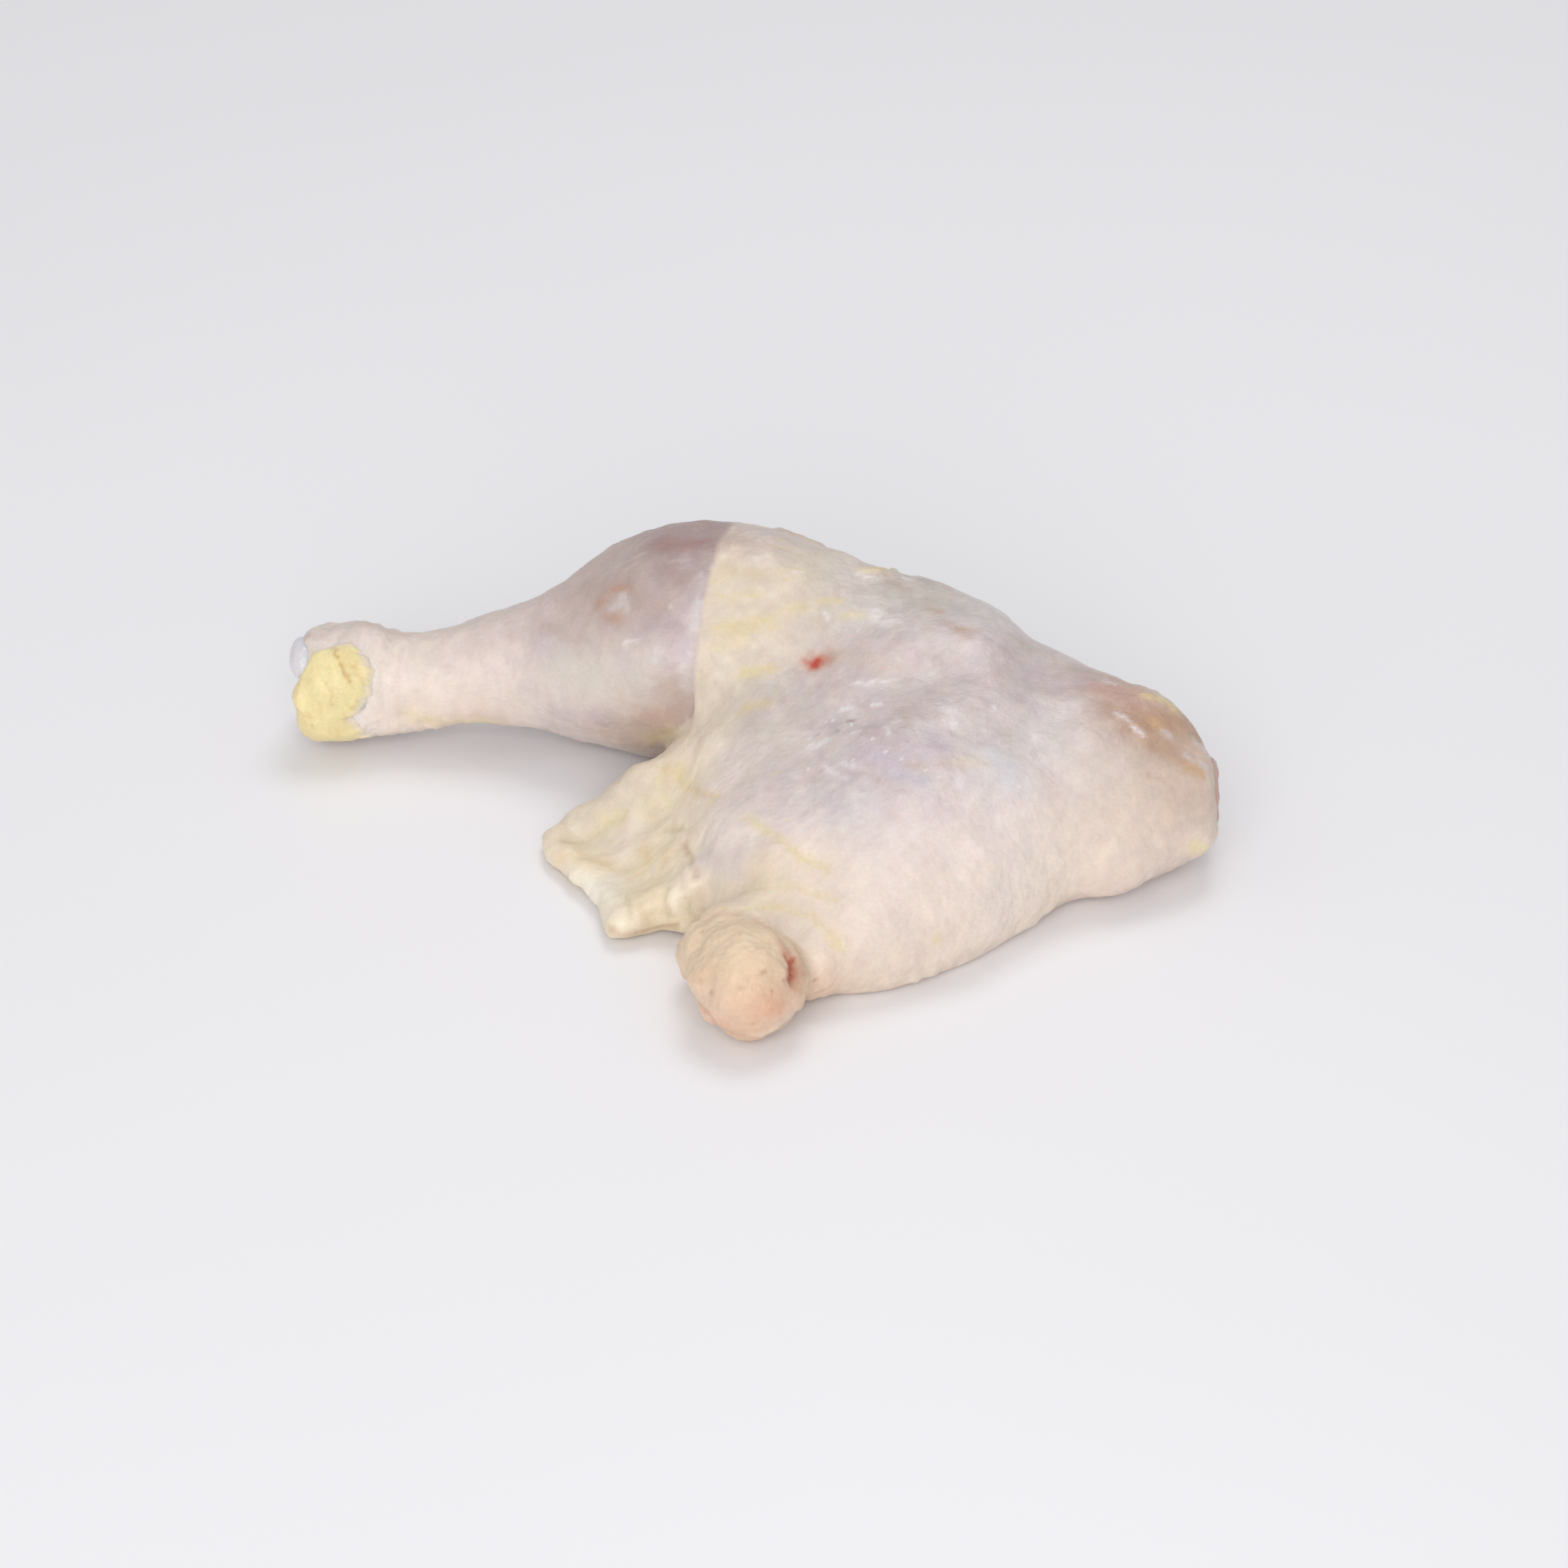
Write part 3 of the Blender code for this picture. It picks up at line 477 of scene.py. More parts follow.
    ('straw', 0.4, 0.7, -0.2, (905, 1126), (950, 1117), (1000, 1126), (1012, 1142)),
    ('straw', 0.3, 0.7, -0.15, (925, 1102), (975, 1092), (1030, 1110)),
    # wavy crease, shade line and white ridge of the flap
    ('olive', 0.5, 1.0, -0.3, (698, 1034), (713, 1033), (727, 1027), (741, 1021), (750, 1011), (764, 1007)),
    ('straw peach', 0.45, 1.6, -0.2, (691, 1058), (716, 1058), (749, 1063), (781, 1077)),
    ('straw peach', 0.5, 0.8, 0, (742, 1061), (752, 1064)),
    ('cream', 0.55, 2.2, 0.5, (782, 1000), (778, 1020), (768, 1052)),
    # thick edge, fingers and lobe of the flap, and the crease below
    ('ivory', 0.5, 1.8, 0.15, (700, 1072), (726, 1090), (748, 1100)),
    ('ivory', 0.5, 2.0, 0.6, (750, 1096), (768, 1138)),
    ('olive', 0.6, 0.6, -0.4, (771, 1107), (776, 1116), (779, 1128)),
    ('ivory', 0.4, 0.8, 0.3, (783, 1122), (786, 1136)),
    ('straw cream', 0.5, 2.4, 0.3, (792, 1110), (806, 1104), (818, 1118), (816, 1130)),
    # crease below: a reddish-brown crack, painted darker also as the shadow under the lobe
    ('rust', 0.5, 0.6, -0.6, (752, 1146), (783, 1150), (806, 1146), (834, 1137)),
    # lumps, and the creases round them
    ('ivory', 0.45, 1.9, 0.8, (831, 1104), (838, 1120)),
    ('butter', 0.4, 1.7, 0.3, (846, 1136), (858, 1145)),
    ('olive', 0.6, 0.7, -0.5, (848, 1110), (852, 1122), (857, 1135)),
    # crease left of the lump: painted shade between lobe and lump
    ('olive brown', 0.5, 0.7, -0.5, (822, 1094), (819, 1110), (826, 1126)),
    ('rust', 0.45, 0.75, -0.6, (841, 1040), (849, 1058), (858, 1078)),
    ('yellow cream', 0.5, 1.3, 0, (837, 1067), (845, 1082)),
    # olive crease from the flap to the thigh
    ('straw', 0.5, 1.1, -0.3, (921, 1006), (954, 1030), (984, 1055), (1017, 1070)),
    # tail: rim, and the crease round it
    ('tail beige', 0.6, 1.0, 0, (926, 1139), (944, 1146), (961, 1162), (972, 1177)),
    ('shadow peach', 0.7, 0.6, -0.4, (858, 1142), (872, 1131), (890, 1125), (912, 1125), (935, 1134),
     (950, 1145), (964, 1158), (977, 1171)),
    # slit beside the tail
    ('slit red', 1.0, 1.5, -0.8, (976, 1178), (980, 1190), (979, 1206)),
    ('rust', 0.5, 1.4, -0.3, (985, 1178), (988, 1196), (984, 1214)),
    ('orange', 0.6, 0.8, 0, (962, 1162), (974, 1174)),
    # fill, corners, hollows and flat side of the tail
    ('tail beige', 0.3, 2.0, 0.9, (858, 1158), (855, 1180), (858, 1212)),
    ('shadow peach', 0.2, 1.8, 0.5, (866, 1247), (874, 1254)),
    ('peach rose', 0.2, 2.0, 0.5, (895, 1279), (932, 1281)),
    ('peach rose', 0.2, 1.7, 0.7, (984, 1226), (983, 1240)),
    ('shadow peach', 0.2, 1.8, -0.6, (851, 1222), (858, 1236)),
    ('shadow peach', 0.2, 1.7, -0.6, (972, 1258), (979, 1249)),
    ('shadow peach', 0.2, 1.6, -0.5, (876, 1266), (884, 1272)),
    ('warm cream', 0.3, 2.2, -0.7, (994, 1188), (998, 1208), (992, 1228)),
    # orange and pink patches
    ('orange', 0.85, 2.2, 0, (940, 1242), (957, 1242)),
    ('peach rose', 0.7, 2.4, 0, (916, 1234), (935, 1240)),
    ('orange', 0.6, 0.9, 0, (890, 1262), (895, 1262)),
    ('peach rose', 0.5, 2.0, 0, (862, 1205), (878, 1198)),
    # lower fold, dent and pale rim
    ('orange', 0.5, 0.7, -0.6, (860, 1236), (873, 1250), (882, 1263)),
    ('orange', 0.3, 1.4, 0, (905, 1273), (935, 1275)),
    ('peach', 0.5, 1.2, -0.4, (949, 1268), (965, 1258)),
    ('warm cream', 0.6, 0.7, 0.3, (925, 1275), (945, 1271), (972, 1254)),
    # hock: skin round the scaly patch, blood, fold over the gristle
    ('cream', 0.6, 2.2, 0, (458, 800), (474, 830), (470, 852), (446, 886)),
    ('slit red', 0.6, 0.8, 0, (380, 787), (382, 789)),
    ('shank rose', 0.6, 1.8, 1.3, (379, 780), (382, 795), (379, 812)),
    # knob, bumps and slope of the hock
    ('shank rose', 0.2, 1.3, 0.4, (400, 768), (405, 766)),
    ('cream', 0.4, 0.7, 0.4, (410, 764), (413, 764)),
    ('cream', 0.4, 0.6, 0.3, (432, 765), (436, 765)),
    ('hip cream', 0.5, 1.2, 0, (440, 771), (470, 777), (500, 783)),
)

# Dark follicles on the tail: places, reach in mm, strength, depth in mm.
FOLLICLES = ((867, 1149), (911, 1151), (865, 1209), (875, 1223), (857, 1197), (942, 1197), (967, 1209),
             (951, 1220), (914, 1217), (885, 1240), (928, 1262), (939, 1199), (1004, 1207), (1012, 1221))
FOLLICLE_REACH, FOLLICLE_STRENGTH, FOLLICLE_DEPTH = 0.38, 0.75, 0.08

# Damp places where painted glints show, white flecks that stand in for highlights on wet fat: place, reach
# in mm, share of the skin there.
GLINTS = (((1040, 885), 7, 0.9), ((1080, 935), 8, 0.9), ((1165, 880), 6, 0.7), ((1240, 950), 7, 0.4),
          ((1090, 770), 6, 0.5), ((1010, 930), 7, 0.85))
GLINT_STRENGTH, GLINT_HEIGHT = 0.7, 0.12

# ---------------------------------------------------------------- waves: height, size in mm, seed
BROAD_LUMPS = ((0.30, 17, 1), (0.06, 5, 2))
GRISTLE_LUMPS = ((0.02, 1.1, 31), (0.008, 0.4, 32))      # shares of its size
# What shows faintly through the skin (shade, rosy flesh, fat), and how it changes red, green and blue.
MOTTLING = (
    (((0.5, 8, 51), (0.45, 3.6, 52), (0.35, 1.8, 53)), (0.060, 0.070, 0.064)),
    (((0.5, 9, 54), (0.4, 4, 55)), (0.005, -0.014, 0.003)),
    (((0.5, 7, 56), (0.4, 3, 57)), (0.008, 0.005, -0.026)),
)
# Fine relief of the skin: region, stretch along X, Y and Z, waves.
EVEN = (1, 1, 1)
RELIEF = (
    ('all over', EVEN, ((0.025, 1.9, 8),)),
    ('shank', (2.6, 0.6, 0.6), ((0.05, 6, 3),)),
    ('end of the shank', (2.6, 0.6, 0.6), ((0.09, 6, 3),)),
    ('under the shank', EVEN, ((0.10, 2.8, 16),)),
    ('hood', (0.5, 1.6, 1.6), ((0.06, 7, 4),)),
    ('flap', EVEN, ((0.16, 9, 5), (0.05, 3.2, 6))),
    ('lip of the flap', (1, 0.5, 0.5), ((0.28, 5.5, 17),)),
    ('hip', EVEN, ((0.06, 3.5, 7),)),
    ('lower edge', (1, 0.4, 0.4), ((0.09, 3.0, 10),)),
    ('tail', EVEN, ((0.08, 6, 14), (0.06, 1.8, 15))),
)
PIT_SPACING, PIT_RADIUS, PIT_SEED = 2.6, 0.8, 9
PIT_DEPTH = 0.05


# ================================================================ form
def ramp(low, high, x):
    """Smooth step from 0 at low to 1 at high."""
    t = np.clip((x - low) / (high - low), 0, 1)
    return t * t * (3 - 2 * t)


def join(a, b, k):
    """Union of two fields, with a blend about k wide."""
    h = np.clip(0.5 + 0.5 * (b - a) / k, 0, 1)
    return b + (a - b) * h - k * h * (1 - h)


def keep_inside(a, b, k):
    """What lies in both fields, with an edge rounded over about k."""
    return -join(-a, -b, k)


def through_stations(x, xs, ys):
    """Smooth curve through the stations (cubic Hermite)."""
    xs, ys = np.array(xs, float), np.array(ys, float)
    slopes = np.gradient(ys, xs)
    i = np.clip(np.searchsorted(xs, x) - 1, 0, len(xs) - 2)
    h = xs[i + 1] - xs[i]
    t = np.clip((x - xs[i]) / h, 0, 1)
    start = (2 * t ** 3 - 3 * t ** 2 + 1) * ys[i] + (t ** 3 - 2 * t ** 2 + t) * h * slopes[i]
    end = (3 * t ** 2 - 2 * t ** 3) * ys[i + 1] + (t ** 3 - t ** 2) * h * slopes[i + 1]
    return start + end


def ellipsoid(p, centre, half, turn):
    """Ellipsoid turned about Z."""
    a = math.radians(turn)
    q = p - np.array(centre, float)
    q = np.stack([math.cos(a) * q[:, 0] + math.sin(a) * q[:, 1],
                  math.cos(a) * q[:, 1] - math.sin(a) * q[:, 0], q[:, 2]], 1)
    half = np.array(half, float)
    size = np.linalg.norm(q / half, axis=1)
    return size * (size - 1) / (np.linalg.norm(q / half ** 2, axis=1) + 1e-9)


def distance_to_line(p, points):
    """Distance to a line through the points, in plan or in space."""
    nearest = np.full(len(p), 1e9)
    for a, b in zip(points[:-1], points[1:]):
        a, b = np.array(a, float), np.array(b, float)
        w = p[:, :len(a)] - a
        t = np.clip(w @ (b - a) / max((b - a) @ (b - a), 1e-9), 0, 1)
        nearest = np.minimum(nearest, np.linalg.norm(w - t[:, None] * (b - a), axis=1))
    return nearest


def bell(x, middle, width):
    """1 at the middle, fading out beyond the width."""
    return np.exp(-((x - middle) / width) ** 2)


def near_line(p, points, width):
    """1 on a line through the points, fading out beyond its half width."""
    return bell(distance_to_line(p, points), 0, width)


def near_spot(p, spot, reach):
    """1 at a spot, fading out beyond its reach."""
    return np.exp(-((p - spot) ** 2).sum(1) / reach ** 2)


def chain(p, balls, k):
    """Balls of changing radius along a bent line."""
    field = None
    for (start, r0), (end, r1) in zip(balls[:-1], balls[1:]):
        a, b = np.array(start, float), np.array(end, float)
        t = np.clip((p - a) @ (b - a) / ((b - a) @ (b - a)), 0, 1)
        d = np.linalg.norm(p - a - t[:, None] * (b - a), axis=1) - r0 - (r1 - r0) * t
        field = d if field is None else join(field, d, k)
    return field


def inside_outline(p, outline):
    """Distance in plan to a closed outline, negative inside it."""
    inside = np.zeros(len(p), bool)
    for (ax, ay), (bx, by) in zip(outline, outline[1:] + outline[:1]):
        spans = (ay <= p[:, 1]) != (by <= p[:, 1])
        inside ^= spans & (p[:, 0] < (bx - ax) * (p[:, 1] - ay) / (by - ay + 1e-12) + ax)
    d = distance_to_line(p, outline + outline[:1])
    return np.where(inside, -d, d)


def hood_edge(p):
    """X of the edge of the thigh's skin on the drumstick."""
    return HOOD_X + HOOD_TURN * p[:, 1]


def shank(p):
    """The limb from the hock to the knee, before the thigh's skin laps over it."""
    xs, radii, heights = zip(*DRUM)
    x = np.clip(p[:, 0], xs[0], xs[-1])
    height = through_stations(x, xs, heights)
    d = np.hypot(p[:, 1] - DRUM_Y, p[:, 2] - height) - through_stations(x, xs, radii)
    end = HOCK_END - p[:, 0] + HOCK_SLANT * np.maximum(p[:, 2] - DRUM[0][2], 0)
    return keep_inside(LIMB_SLOPE * d, end, HOCK_BLEND)


def hood(p, limb):
    """How far the thigh's skin lifts the surface where it laps over the drumstick."""
    lap = HOOD_STEP[0] + (HOOD_STEP[1] - HOOD_STEP[0]) * ramp(26, 12, p[:, 2]) * ramp(18, 6, p[:, 1])
    return lap * ramp(*HOOD_BAND, p[:, 0] - hood_edge(p)) * ramp(7, 1.5, limb)


def thigh(p):
    d = chain(p, RIDGE, RIDGE_BLEND)
    for muscle in MUSCLES:
        d = join(d, ellipsoid(p, *muscle), MUSCLE_BLEND)
    d = join(d, chain(p, EDGE, CHAIN_BLEND), RIDGE_BLEND)
    return keep_inside(d, p[:, 0] - HIP_END + HIP_TURN * (p[:, 1] - RIDGE[-1][0][1]), HIP_BLEND)


def flap(p):
    middle = (FLAP_THICK + FLAP_RISE * ramp(*FLAP_SLOPE, p[:, 0])) / 2
    across = inside_outline(p, FLAP) + FLAP_EDGE
    up = np.abs(p[:, 2] - middle) - middle + FLAP_EDGE
    slab = np.minimum(np.maximum(across, up), 0) - FLAP_EDGE
    slab = slab + np.hypot(np.maximum(across, 0), np.maximum(up, 0))
    return join(SLAB_SLOPE * slab, chain(p, WEB, CHAIN_BLEND), CHAIN_BLEND)


def tail(p):
    return join(ellipsoid(p, *TAIL), chain(p, TAIL_NECK, NECK_BLEND), NECK_BLEND)


def folds(p):
    """How far the folds lift the skin."""
    lift = sum(height * near_line(p, points, width) for points, height, width in FOLDS)
    return lift * ramp(0.5, 3.0, p[:, 2])


def leg(p):
    limb = shank(p)
    upper = join(thigh(p), flap(p), FLAP_BLEND)
    low, high = SKIN_BLEND
    blend = low + (high - low) * ramp(*SKIN_BLEND_HEIGHTS, p[:, 2])
    d = join(keep_inside(limb, p[:, 0] - KNEE_END, KNEE_BLEND), upper, blend)
    d = join(d - hood(p, limb), tail(p), TAIL_BLEND)
    return keep_inside(d - folds(p), -p[:, 2], FOOT_BLEND)


def slope_of(p, field, h=0.02):
    return np.stack([field(p + h * axis) - field(p - h * axis) for axis in np.eye(3)], 1) / (2 * h)


def settle(p, field, offset=0.0, rounds=4):
    """Move points along the field's slope until they lie on its surface, or offset from it."""
    for _ in range(rounds):
        slope = slope_of(p, field)
        step = (field(p) - offset) / np.maximum((slope ** 2).sum(1), 0.05)
        p = p - slope * np.clip(step, -2, 2)[:, None]
    return p


# ================================================================ noise
def waves(p, size, seed, count=18):
    """Smooth random bumps about size apart; most values lie between -2 and 2."""
    rng = np.random.default_rng(seed)
    total = np.zeros(len(p))
    for _ in range(count):
        way = rng.normal(size=p.shape[1])
        pace = 2 * math.pi / size * rng.uniform(0.7, 1.4) / np.linalg.norm(way)
        total += np.sin(p @ way * pace + rng.uniform(0, 2 * math.pi))
    return total * math.sqrt(2 / count)


def layered(p, layers):
    """Sum of waves, each given by its height, size and seed."""
    return sum(height * waves(p, size, seed) for height, size, seed in layers)


def shake(p, size, seeds):
    """A random shift of every point, one seed for each axis."""
    return np.stack([waves(p, size, seed) for seed in seeds], 1)


def scattered(p, spacing, seed):
    """About one of the points for each cube of that spacing, in random order."""
    order = np.random.default_rng(seed).permutation(len(p))
    cells = np.floor(p[order] / spacing).astype(int)
    _, first = np.unique(cells, axis=0, return_index=True)
    return p[order[first]]


def distance_to_nearest(p, centres):
    tree = KDTree(len(centres))
    for i, c in enumerate(centres):
        tree.insert(c, i)
    tree.balance()
    return np.array([tree.find(q)[2] for q in p])


# ================================================================ the picture's pixels
def ray(u, v):
    """Direction in which the camera sees a pixel."""
    half = PICTURE / 2
    reach = SENSOR / 2 / LENS
    right, up = (u - half) / half * reach, (half - v) / half * reach
    ahead = -EYE / DISTANCE
    upward = np.array([0.0, math.sin(ELEVATION), math.cos(ELEVATION)])
    return ahead + right * np.array([1.0, 0, 0]) + up * upward


class Surface:
    """The settled skin, onto which places are dropped."""

    def __init__(self, points, faces):
        self.points = points
        self.tree = BVHTree.FromPolygons([Vector(p) for p in points], faces)

    def at(self, place):
        if len(place) == 3:
            return np.array(self.tree.find_nearest(Vector(place))[0])
        way = ray(*place) / np.linalg.norm(ray(*place))
        hit = self.tree.ray_cast(Vector(EYE), Vector(way))[0]
        if hit is None:         # just outside the outline: the nearest skin to the line of sight
            w = self.points - EYE
            off = np.linalg.norm(w - (w @ way)[:, None] * way, axis=1)
            hit = self.points[off.argmin()]
        return np.array(hit)

    def line(self, places):
        return [self.at(place) for place in places]


# ================================================================ paint
def linear(srgb):
    c = np.array(srgb, float) / 255
    return np.where(c <= 0.04045, c / 12.92, ((c + 0.055) / 1.055) ** 2.4)


def finish_of(tone):
    """Colour, wetness and pores of a tone as one row of numbers."""
    colour, wet, pores = TONES[tone]
    return np.array([*linear(colour), wet, pores])


def plain_paint(p, tone):
    """One tone for every point."""
    return np.tile(finish_of(tone), (len(p), 1))


def tint(paint, tone, share):
    """Blend a tone into the paint, by a share for every point."""
    paint += share[:, None] * (finish_of(tone) - paint)


def tail_end(p):
    """Distance to the part of the tail that stands out of the thigh."""
    centre, radius = TAIL_NECK[0]
    return np.minimum(ellipsoid(p, *TAIL), np.linalg.norm(p - np.array(centre), axis=1) - radius)


def sheets(p):
    """Which sheet of skin a point is on: 1 on thigh and flap, and 1 on the tail."""
    upper = np.minimum(thigh(p), flap(p))
    soft = 0.3 + 0.7 * ramp(24, 34, p[:, 2]) + 2.5 * ramp(24, 36, p[:, 1])
    lap = ramp(-1, 1, (p[:, 0] - hood_edge(p)) / soft)
    return np.maximum(lap, ramp(-0.4, 0.4, shank(p) - upper)), ramp(2.4, 0.8, tail_end(p))


def melted(p, surface):
    """The tones of the areas melted together, but not across the edge of a sheet of skin."""
    areas = [(tone, spot) for table in (AREAS, HIDDEN_AREAS) for tone in table for spot in table[tone]]
    places = np.array([surface.at(spot[:-1]) for _, spot in areas])
    own, theirs = sheets(p), sheets(places)
    total = np.zeros((len(p), 5))
    weight = np.full(len(p), 1e-12)
    for i, (tone, spot) in enumerate(areas):
        w = near_spot(p, places[i], spot[-1])
        for mine, its in zip(own, theirs):
            w *= 1.002 - np.abs(mine - its[i])
        total += w[:, None] * finish_of(tone)
        weight += w
    return total / weight[:, None]


def add_knee_stripes(p, paint):
    """Slanted stripes of fat on the knee. Returns how far they lift the skin."""
    on_knee = sheets(p)[0] * ramp(12, -4, p[:, 0]) * ramp(22, 31, p[:, 2])
    slanted = np.stack([0.35 * p[:, 0], p[:, 1] - 0.35 * p[:, 0], p[:, 2]], 1)
    stripes = 0.8 * waves(slanted, 5, 58) + 0.5 * waves(p, 2.6, 59)
    tint(paint, 'knee yellow', 0.45 * on_knee * ramp(0.5, 2.2, stripes))
    tint(paint, 'ivory', 0.25 * on_knee * ramp(0.4, 2.4, -stripes))
    return -0.03 * on_knee * stripes


def add_mottling(p, paint):
    """Flesh and fat that show faintly through the skin, most where it is thin and wet."""
    thin = 0.1 + 1.1 * paint[:, 3]
    change = sum(np.outer(layered(p, layers), colour) for layers, colour in MOTTLING)
    paint[:, :3] *= 1 + thin[:, None] * change


def add_marks(p, paint, surface):
    """Paint the marks with ragged edges. Returns how far they lift the skin."""
    lift = np.zeros(len(p))
    ragged = shake(p, 2.2, (11, 12, 13))
    for tone, strength, width, height, *places in MARKS:
        line = surface.line(places)
        tint(paint, tone, strength * near_line(p + min(0.3, 0.2 * width) * ragged, line, width))
        lift += height * near_line(p, line, width)
    return lift


def add_glints(p, paint, surface):
    """Painted glints: small ragged white flecks in the damp places, painted highlights on wet fat. Returns
    how far they lift the skin.
    """
    damp = np.max([most * near_spot(p, surface.at(place), reach) for place, reach, most in GLINTS], axis=0)
    ragged = 0.75 * waves(p * (0.8, 1.1, 1.1), 2.4, 61) + 0.6 * waves(p, 1.3, 62)
    level = 3.0 - 1.9 * damp
    fleck = ramp(level, level + 0.5, ragged) * (damp > 0.08)
    tint(paint, 'fleck', GLINT_STRENGTH * fleck)
    return GLINT_HEIGHT * fleck


def add_follicles(p, paint, surface):
    """Paint the follicles. Returns how far they lift the skin."""
    dots = np.max([near_spot(p, surface.at(place), FOLLICLE_REACH) for place in FOLLICLES], axis=0)
    tint(paint, 'follicle', FOLLICLE_STRENGTH * dots)
    return -FOLLICLE_DEPTH * dots


def painted(p, surface):
    """Colour, wetness and pores of every point, and how far the paint's marks lift it."""
    paint = melted(p, surface)
    lift = add_knee_stripes(p, paint)
    add_mottling(p, paint)
    for add in (add_marks, add_glints, add_follicles):
        lift += add(p, paint, surface)
    return paint, lift


# ================================================================ meshes
def mesh_object(name, bm):
    bmesh.ops.recalc_face_normals(bm, faces=bm.faces)
    mesh = bpy.data.meshes.new(name)
    bm.to_mesh(mesh)
    bm.free()
    piece = bpy.data.objects.new(name, mesh)
    bpy.context.scene.collection.objects.link(piece)
    return piece


def vectors(items, kind='co'):
    """Places or normals of vertices as rows of numbers."""
    return np.array([getattr(item, kind)[:] for item in items])


def set_points(mesh, p):
    mesh.vertices.foreach_set('co', ((p - MIDDLE) * MM).astype(np.float32).ravel())
    mesh.update()


def set_finish(mesh, paint):
    """Store the painted finish on the mesh's points for its material."""
    tone = mesh.attributes.new('tone', 'FLOAT_COLOR', 'POINT')
    rgba = np.ones((len(paint), 4), np.float32)
    rgba[:, :3] = np.clip(paint[:, :3], 0, 1)
    tone.data.foreach_set('color', rgba.ravel())
    for i, name in ((3, 'wet'), (4, 'pores')):
        mesh.attributes.new(name, 'FLOAT', 'POINT').data.foreach_set('value', paint[:, i].astype(np.float32))


def solid_of(node):
    """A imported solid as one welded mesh, in the row frame."""
    bm = bmesh.new()
    bm.from_mesh(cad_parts[node].data)
    bmesh.ops.remove_doubles(bm, verts=bm.verts, dist=WELD)
    return bm


def even_mesh(piece, cell):
    """The piece's solids fused into one even mesh of small cells."""
    fuse = piece.modifiers.new('fuse', 'REMESH')
    fuse.mode = 'VOXEL'
    fuse.voxel_size = cell
    return bpy.data.meshes.new_from_object(piece.evaluated_get(bpy.context.evaluated_depsgraph_get()))


def fused_blank():
    """The skin's solid with its pockets filled by the swollen flesh and gristle, in millimetres."""
    bm = bmesh.new()
    for node, swell in BLANK_NODES:
        part = solid_of(node)
        part.normal_update()
        for v in part.verts:
            v.co = v.co / MM + v.normal * swell
        mesh = bpy.data.meshes.new('part')
        part.to_mesh(mesh)
        part.free()
        bm.from_mesh(mesh)
        bpy.data.meshes.remove(mesh)
    blank = mesh_object('blank', bm)
    mesh = even_mesh(blank, VOXEL)
    bpy.data.objects.remove(blank)
    return mesh


def relax(p, edges):
    """Move each vertex half-way to the mean of its neighbours."""
    total = np.zeros_like(p)
    count = np.zeros(len(p))
    for a, b in ((edges[:, 0], edges[:, 1]), (edges[:, 1], edges[:, 0])):
        np.add.at(total, a, p[b])
        np.add.at(count, a, 1)
    return 0.5 * p + 0.5 * total / count[:, None]


# ================================================================ skin
def regions(p):
    """How far each point belongs to each region of the relief, from 0 to 1."""
    x, y, z = p.T
    on_shank = ramp(-44, -58, x)
    return {
        'all over': 1,
        'shank': on_shank,
        'end of the shank': on_shank * ramp(-68, -76, x),
        'under the shank': on_shank * ramp(12, 5, z),
        'hood': ramp(0, 2, x - hood_edge(p)) * ramp(18, 4, x) * ramp(-20, 0, y),
        'flap': ramp(-10, -20, x) * ramp(0, -14, y),
        'lip of the flap': ramp(-43, -50, y) * ramp(-11, -16, x) * ramp(-56, -50, x),
        'hip': ramp(58, 70, x),
        'lower edge': ramp(8, 3, z) * ramp(-6, 4, x) * ramp(-20, -34, y),
        'tail': ramp(0, -3, tail(p) - 2.5),
    }


def skin_relief(p, paint):
    """Lumps, wrinkles and pores of the skin, in mm."""
    where = regions(p)
    lift = layered(p, BROAD_LUMPS)
    for region, stretch, layers in RELIEF:
        lift += where[region] * layered(p * stretch, layers)
    pits = distance_to_nearest(p, scattered(p, PIT_SPACING, PIT_SEED))
    deep = PIT_DEPTH * (paint[:, 4] + where['tail'])
    return lift + deep * (0.4 - bell(pits, 0, PIT_RADIUS))


def make_skin():
    mesh = fused_blank()
    p = vectors(mesh.vertices) + MIDDLE
    edges = np.array([e.vertices[:] for e in mesh.edges])
    for _ in range(2):
        p = settle(relax(p, edges), leg)
    surface = Surface(p, [f.vertices[:] for f in mesh.polygons])
    paint, lift = painted(p, surface)
    lift += skin_relief(p, paint)
    slope = slope_of(p, leg)
    slope /= np.maximum(np.linalg.norm(slope, axis=1), 1e-6)[:, None]
    p = p + slope * (lift * ramp(*FOOT_BAND, p[:, 2]))[:, None]
    p[:, 2] = np.maximum(p[:, 2], 0)
    skin = bpy.data.objects.new('leg_skin_surface', mesh)
    mesh.name = skin.name
    bpy.context.scene.collection.objects.link(skin)
    set_points(mesh, p)
    set_finish(mesh, paint)
    return skin, surface


# ================================================================ scaly skin of the hock
def scale_edge(angle):
    """Ragged edge of the scaly skin along X, at an angle in degrees."""
    tongues = sum(reach * bell(angle, middle, width) for middle, width, reach in SCALE_TONGUES)
    corners = sum(reach * ramp(start, end, angle) for start, end, reach in SCALE_CORNERS)
    rags = sum(reach * np.sin(np.radians(angle * pace + start)) for pace, start, reach in SCALE_RAGS)
    return SCALE_REACH + tongues - corners + rags


def scale_base(angle, along):
    """Points round the hock, turned inward over its end where the sheet runs past it."""
    inward = np.maximum(HOCK_END - along, 0)
    _, radius, height = DRUM[1]
    x = np.maximum(along, HOCK_END) - 2 * ramp(0, 2, inward)
    turn = np.radians(angle)
    return np.stack([x, DRUM_Y - (radius - inward) * np.sin(turn),
                     height - (radius - inward) * np.cos(turn)], 1)


